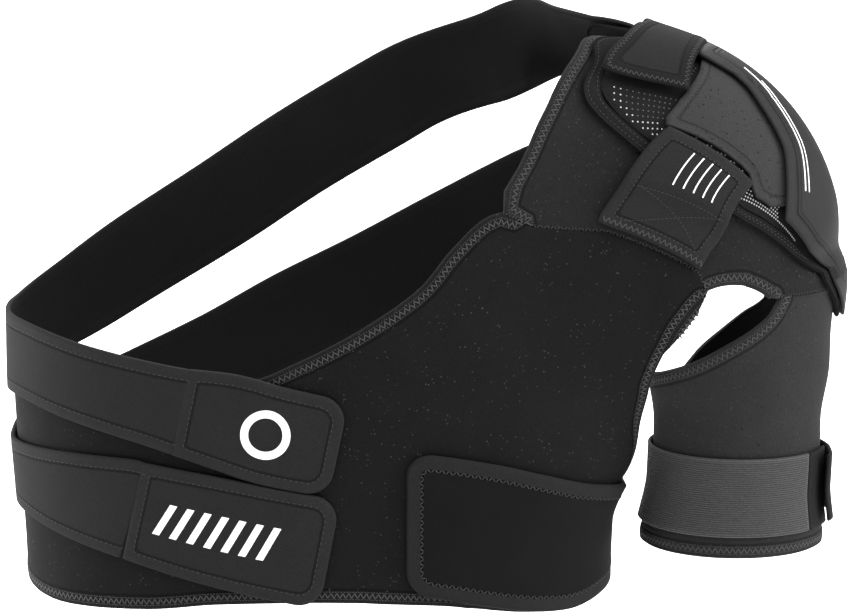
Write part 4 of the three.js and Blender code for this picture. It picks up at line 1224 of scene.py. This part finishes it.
PITCH = 1.05  # degrees between openings
dot_psi, dot_phi = np.arange(-30, 80, PITCH), np.arange(-36, 36.01, PITCH * 0.86)
rows, columns = np.meshgrid(dot_phi, dot_psi, indexing="ij")
columns = columns + (np.arange(len(rows)) % 2)[:, None] * PITCH / 2
seen = under(MESH_ROWS, columns, rows, -1.2) & ~under_anchor(columns, rows)
for table, margin in ((OVERLAY_ROWS, 0.6), (SHELL_ROWS, 0.6), (KEEPER_ROWS, 0.5)):
    seen &= ~under(table, columns, rows, margin)


WIDE_AND_COLOURED = [("Width", "NodeSocketFloat"), ("Material", "NodeSocketMaterial")]


def dot_tree():
    group, tree, given = new_tree("openings of a mesh", WIDE_AND_COLOURED)
    stand, ball = standing(tree)
    sizes = {"X": given["Width"], "Y": given["Width"], "Z": given["Width"] * 0.3}
    size = tree.add("ShaderNodeCombineXYZ", None, sizes)
    spots = {"Points": given["Geometry"], "Instance": ball, "Rotation": stand, "Scale": size}
    spots = tree.add("GeometryNodeInstanceOnPoints", None, spots)
    return end_tree(group, tree, spots, given["Material"])


DOT_TREE = dot_tree()
DOT_HEIGHT = ON_CLOTH + 1.65
bright = (columns < through(MESH_ROWS, 1, np.abs(rows)) + 3.4) | (np.abs(rows) > 21)
bright &= columns < 41
OPENINGS = [
    ("mesh_openings", seen & bright, 0.00105, DOT),
    ("mesh_openings_in_shade", seen & ~bright, 0.00095, DIM_DOT),
]
for name, some, width, material in OPENINGS:
    dots = over_shoulder(columns[some], rows[some])
    values = {"Width": width, "Material": material}
    grown(name, dots.points + dots.normals * DOT_HEIGHT, dots.normals, [], DOT_TREE, values)
    print(name, int(some.sum()))

# %% [markdown]
# ## Marks
# The straps carry generic marks in white print: a ring on the upper one, slanted bars on the lower
# one, and thin parallel lines on the anchor tab. Each is a thin layer that lies on its cloth.

# %% White print
PRINT_HEIGHTS = (0.02, 0.22)  # millimetres above the cloth, of its under and its upper side


def on_sheet(name, flat):
    """Spots of a piece's outer face nearest to places in its own flat millimetres, from its middle."""
    points, normals, _, _ = GRIDS[name]
    along, across = lengths(points, 0), lengths(points, 1)
    u, v = along - along[-1:] / 2, across - across[:, -1:] / 2
    middle_row, middle_column = u.shape[0] // 2, u.shape[1] // 2
    i = np.interp(flat[:, 0], u[:, middle_column], np.arange(u.shape[0]))
    j = np.interp(flat[:, 1], v[middle_row], np.arange(v.shape[1]))
    a, b = (np.clip(k.astype(int), 0, size - 2) for k, size in zip((i, j), u.shape))
    s, t = (i - a)[:, None], (j - b)[:, None]
    pick = lambda g: mixed(mixed(g[a, b], g[a + 1, b], s), mixed(g[a, b + 1], g[a + 1, b + 1], s), t)
    return pick(points), unit(pick(normals))


def print_strips(name, strips):
    """Each strip is two equal rows of spots and their normals; it becomes a thin white layer."""
    points, faces = [], []
    for (a, na), (b, nb) in strips:
        count = len(a)
        start = sum(len(p) for p in points)
        points += [spot + out * height for height in PRINT_HEIGHTS for spot, out in ((a, na), (b, nb))]
        at = lambda k, i: start + k * count + i
        for i in range(count - 1):
            for k, m in ((2, 3), (1, 0), (0, 2), (3, 1)):
                faces.append((at(k, i), at(k, i + 1), at(m, i + 1), at(m, i)))
        for i, turn in ((0, 1), (count - 1, -1)):
            faces.append([at(0, i), at(2, i), at(3, i), at(1, i)][::turn])
    piece = make_mesh(name, np.concatenate(points), faces, False)
    return finish_piece(piece, PRINT)


turn, side, v = np.linspace(0, 2 * np.pi, 73), np.linspace(-1, 1, 9), np.linspace(0.1, 0.42, 14)


def ring_at(radius):
    flat = np.stack([4 + radius * np.cos(turn), radius * np.sin(turn)], axis=-1)
    return on_sheet("upper_strap_grip", flat)


def bar_at(middle):
    return on_sheet("lower_strap_grip", np.stack([middle - 3.2 * side, 9.5 * side], axis=-1))


bar_middles = -36 + 9.6 * np.arange(7)
line_starts = 0.34 + 0.1 * np.arange(5)
print_strips("upper_strap_ring", [(ring_at(13.5), ring_at(9.2))])
print_strips("lower_strap_bars", [(bar_at(middle - 2), bar_at(middle + 2)) for middle in bar_middles])
print_strips("anchor_lines", [(on_anchor(u, v), on_anchor(u + 0.013, v)) for u in line_starts])

# %% [markdown]
# A double pinstripe follows the rim of the shell. It is the same contour line as a seam, but a tree
# sweeps a thin round profile along it, so that it is one unbroken line.

# %% Pinstripe of the shell
def stripe_tree():
    group, tree, given = new_tree("a line swept along a contour", WIDE_AND_COLOURED)
    line = tree.add("GeometryNodeMeshToCurve", None, {"Mesh": given["Geometry"]})
    steps = {"Curve": line, "Length": 0.0012}
    line = tree.add("GeometryNodeResampleCurve", {"mode": "LENGTH"}, steps)
    sizes = {"Resolution": 6, "Radius": given["Width"] / 2}
    profile = tree.add("GeometryNodeCurvePrimitiveCircle", None, sizes)
    sweep = {"Curve": line, "Profile Curve": profile, "Fill Caps": True}
    swept = tree.add("GeometryNodeCurveToMesh", None, sweep)
    return end_tree(group, tree, swept, given["Material"])


def on_front(point):
    """The part of the rim that the stripes follow, in millimetres."""
    return point[1] < -14 and point[2] > 219


STRIPE_TREE = stripe_tree()
STRIPES = [("shell_pinstripe", 12.5, 0.0009), ("shell_pinstripe_outer", 15.5, 0.0007)]
for name, level, width in STRIPES:
    places, outs, links = contour("cap_shell_pad", level, on_front)
    grown(name, places, outs, links, STRIPE_TREE, {"Width": width, "Material": PRINT})
    print(name, len(links), "steps")

# %% [markdown]
# ## What each cloth was cut to
# A worn brace is cut flat and then pulled round a body. Each sheet says the flat size that its own
# grid measures, how it is held, what it lies on, and the thread and print that go with it.

# %% Sheets and pads
SHEETS = [
    (yoke, "stretched", [chest], ["yoke_seam_zigzag", "yoke_seam_rows", "yoke_sleeve_seam"]),
    (chest, "stretched", [yoke], ["chest_seam_zigzag", "chest_seam_rows", "yoke_chest_seam"]),
    (band, "stretched", [chest], ["torso_band_cloth_row", "chest_band_seam"]),
    (tab, "stretched", [chest], ["tab_zigzag"]),
    (upper, "stretched", [yoke, chest], ["upper_strap_web_row"]),
    (upper_grip, "stretched", [chest], ["upper_strap_grip_row", "upper_strap_ring"]),
    (lower, "stretched", [yoke, chest], ["lower_strap_web_row"]),
    (lower_grip, "stretched", [chest], ["lower_strap_grip_row", "lower_strap_bars"]),
    (pad, "laid", [yoke], ["mesh_openings", "mesh_openings_in_shade"]),
    (binding, "folded", [yoke, pad], ["binding_row"]),
    (keeper, "stretched", [upper, overlay], ["keeper_overlock"]),
    (anchor, "stretched", [binding, yoke], ["anchor_rows", "anchor_box", "anchor_overlock", "anchor_lines"]),
    (sleeve, "stretched", [yoke], ["sleeve_seam_zigzag", "sleeve_seam_rows"]),
    (elastic, "stretched", [sleeve], []),
    (strip, "laid", [sleeve], []),
    (hook, "stretched", [strip], []),
]
for piece, held, under_it, on_it in SHEETS:
    width, length, area = CUTS[piece.name]
    area = min(area, width * length)
    print(f"{piece.name}: flat {width:.3f} x {length:.3f} m, {area:.4f} m2")

# %% [markdown]
# ## Stage
# A plain pale floor, soft studio lights from both sides and above, and one that keeps the far floor
# white.

# %% Floor and lights
floor_height = min(corner[2] for corner in cad_box) - 0.1
floor = bpy.data.objects.new("floor", bpy.data.meshes.new("floor"))
corners = [(x * 14, y * 14, floor_height) for x, y in ((-1, -1), (1, -1), (1, 1), (-1, 1))]
floor.data.from_pydata(corners, [], [(0, 1, 2, 3)])
bpy.context.collection.objects.link(floor)
pale = bpy.data.materials.new("studio_floor")
pale.use_nodes = True
pale.node_tree.nodes["Principled BSDF"].inputs["Base Color"].default_value = (0.9, 0.9, 0.9, 1)
pale.node_tree.nodes["Principled BSDF"].inputs["Roughness"].default_value = 0.9
floor.data.materials.append(pale)

LIGHTS = [  # name, place, width, height, watts
    ("left_softbox", (-1.6, 0.35, -0.1), 0.8, 0.6, 40),
    ("right_softbox", (1.5, -0.2, 0.5), 1.0, 1.4, 40),
    ("top_softbox", (-0.1, -0.4, 2.8), 5.5, 5.5, 330),
    ("backdrop_softbox", (0.0, 7.0, 3.5), 8.0, 4.0, 900),
]
for name, place, width, height, watts in LIGHTS:
    data = bpy.data.lights.new(name, "AREA")
    data.shape, data.size, data.size_y, data.energy = "RECTANGLE", width, height, watts
    lamp = bpy.data.objects.new(name, data)
    lamp.location = place
    lit = Vector((-0.1, place[1] if name == "backdrop_softbox" else 0, -0.15))
    lamp.rotation_euler = (lit - Vector(place)).to_track_quat("-Z", "Y").to_euler()
    bpy.context.collection.objects.link(lamp)
world = bpy.data.worlds.new("studio")
world.use_nodes = True
world.node_tree.nodes["Background"].inputs["Color"].default_value = (1, 1, 1, 1)
world.node_tree.nodes["Background"].inputs["Strength"].default_value = 0.3
bpy.context.scene.world = world
bpy.context.scene.view_settings.view_transform = "Standard"
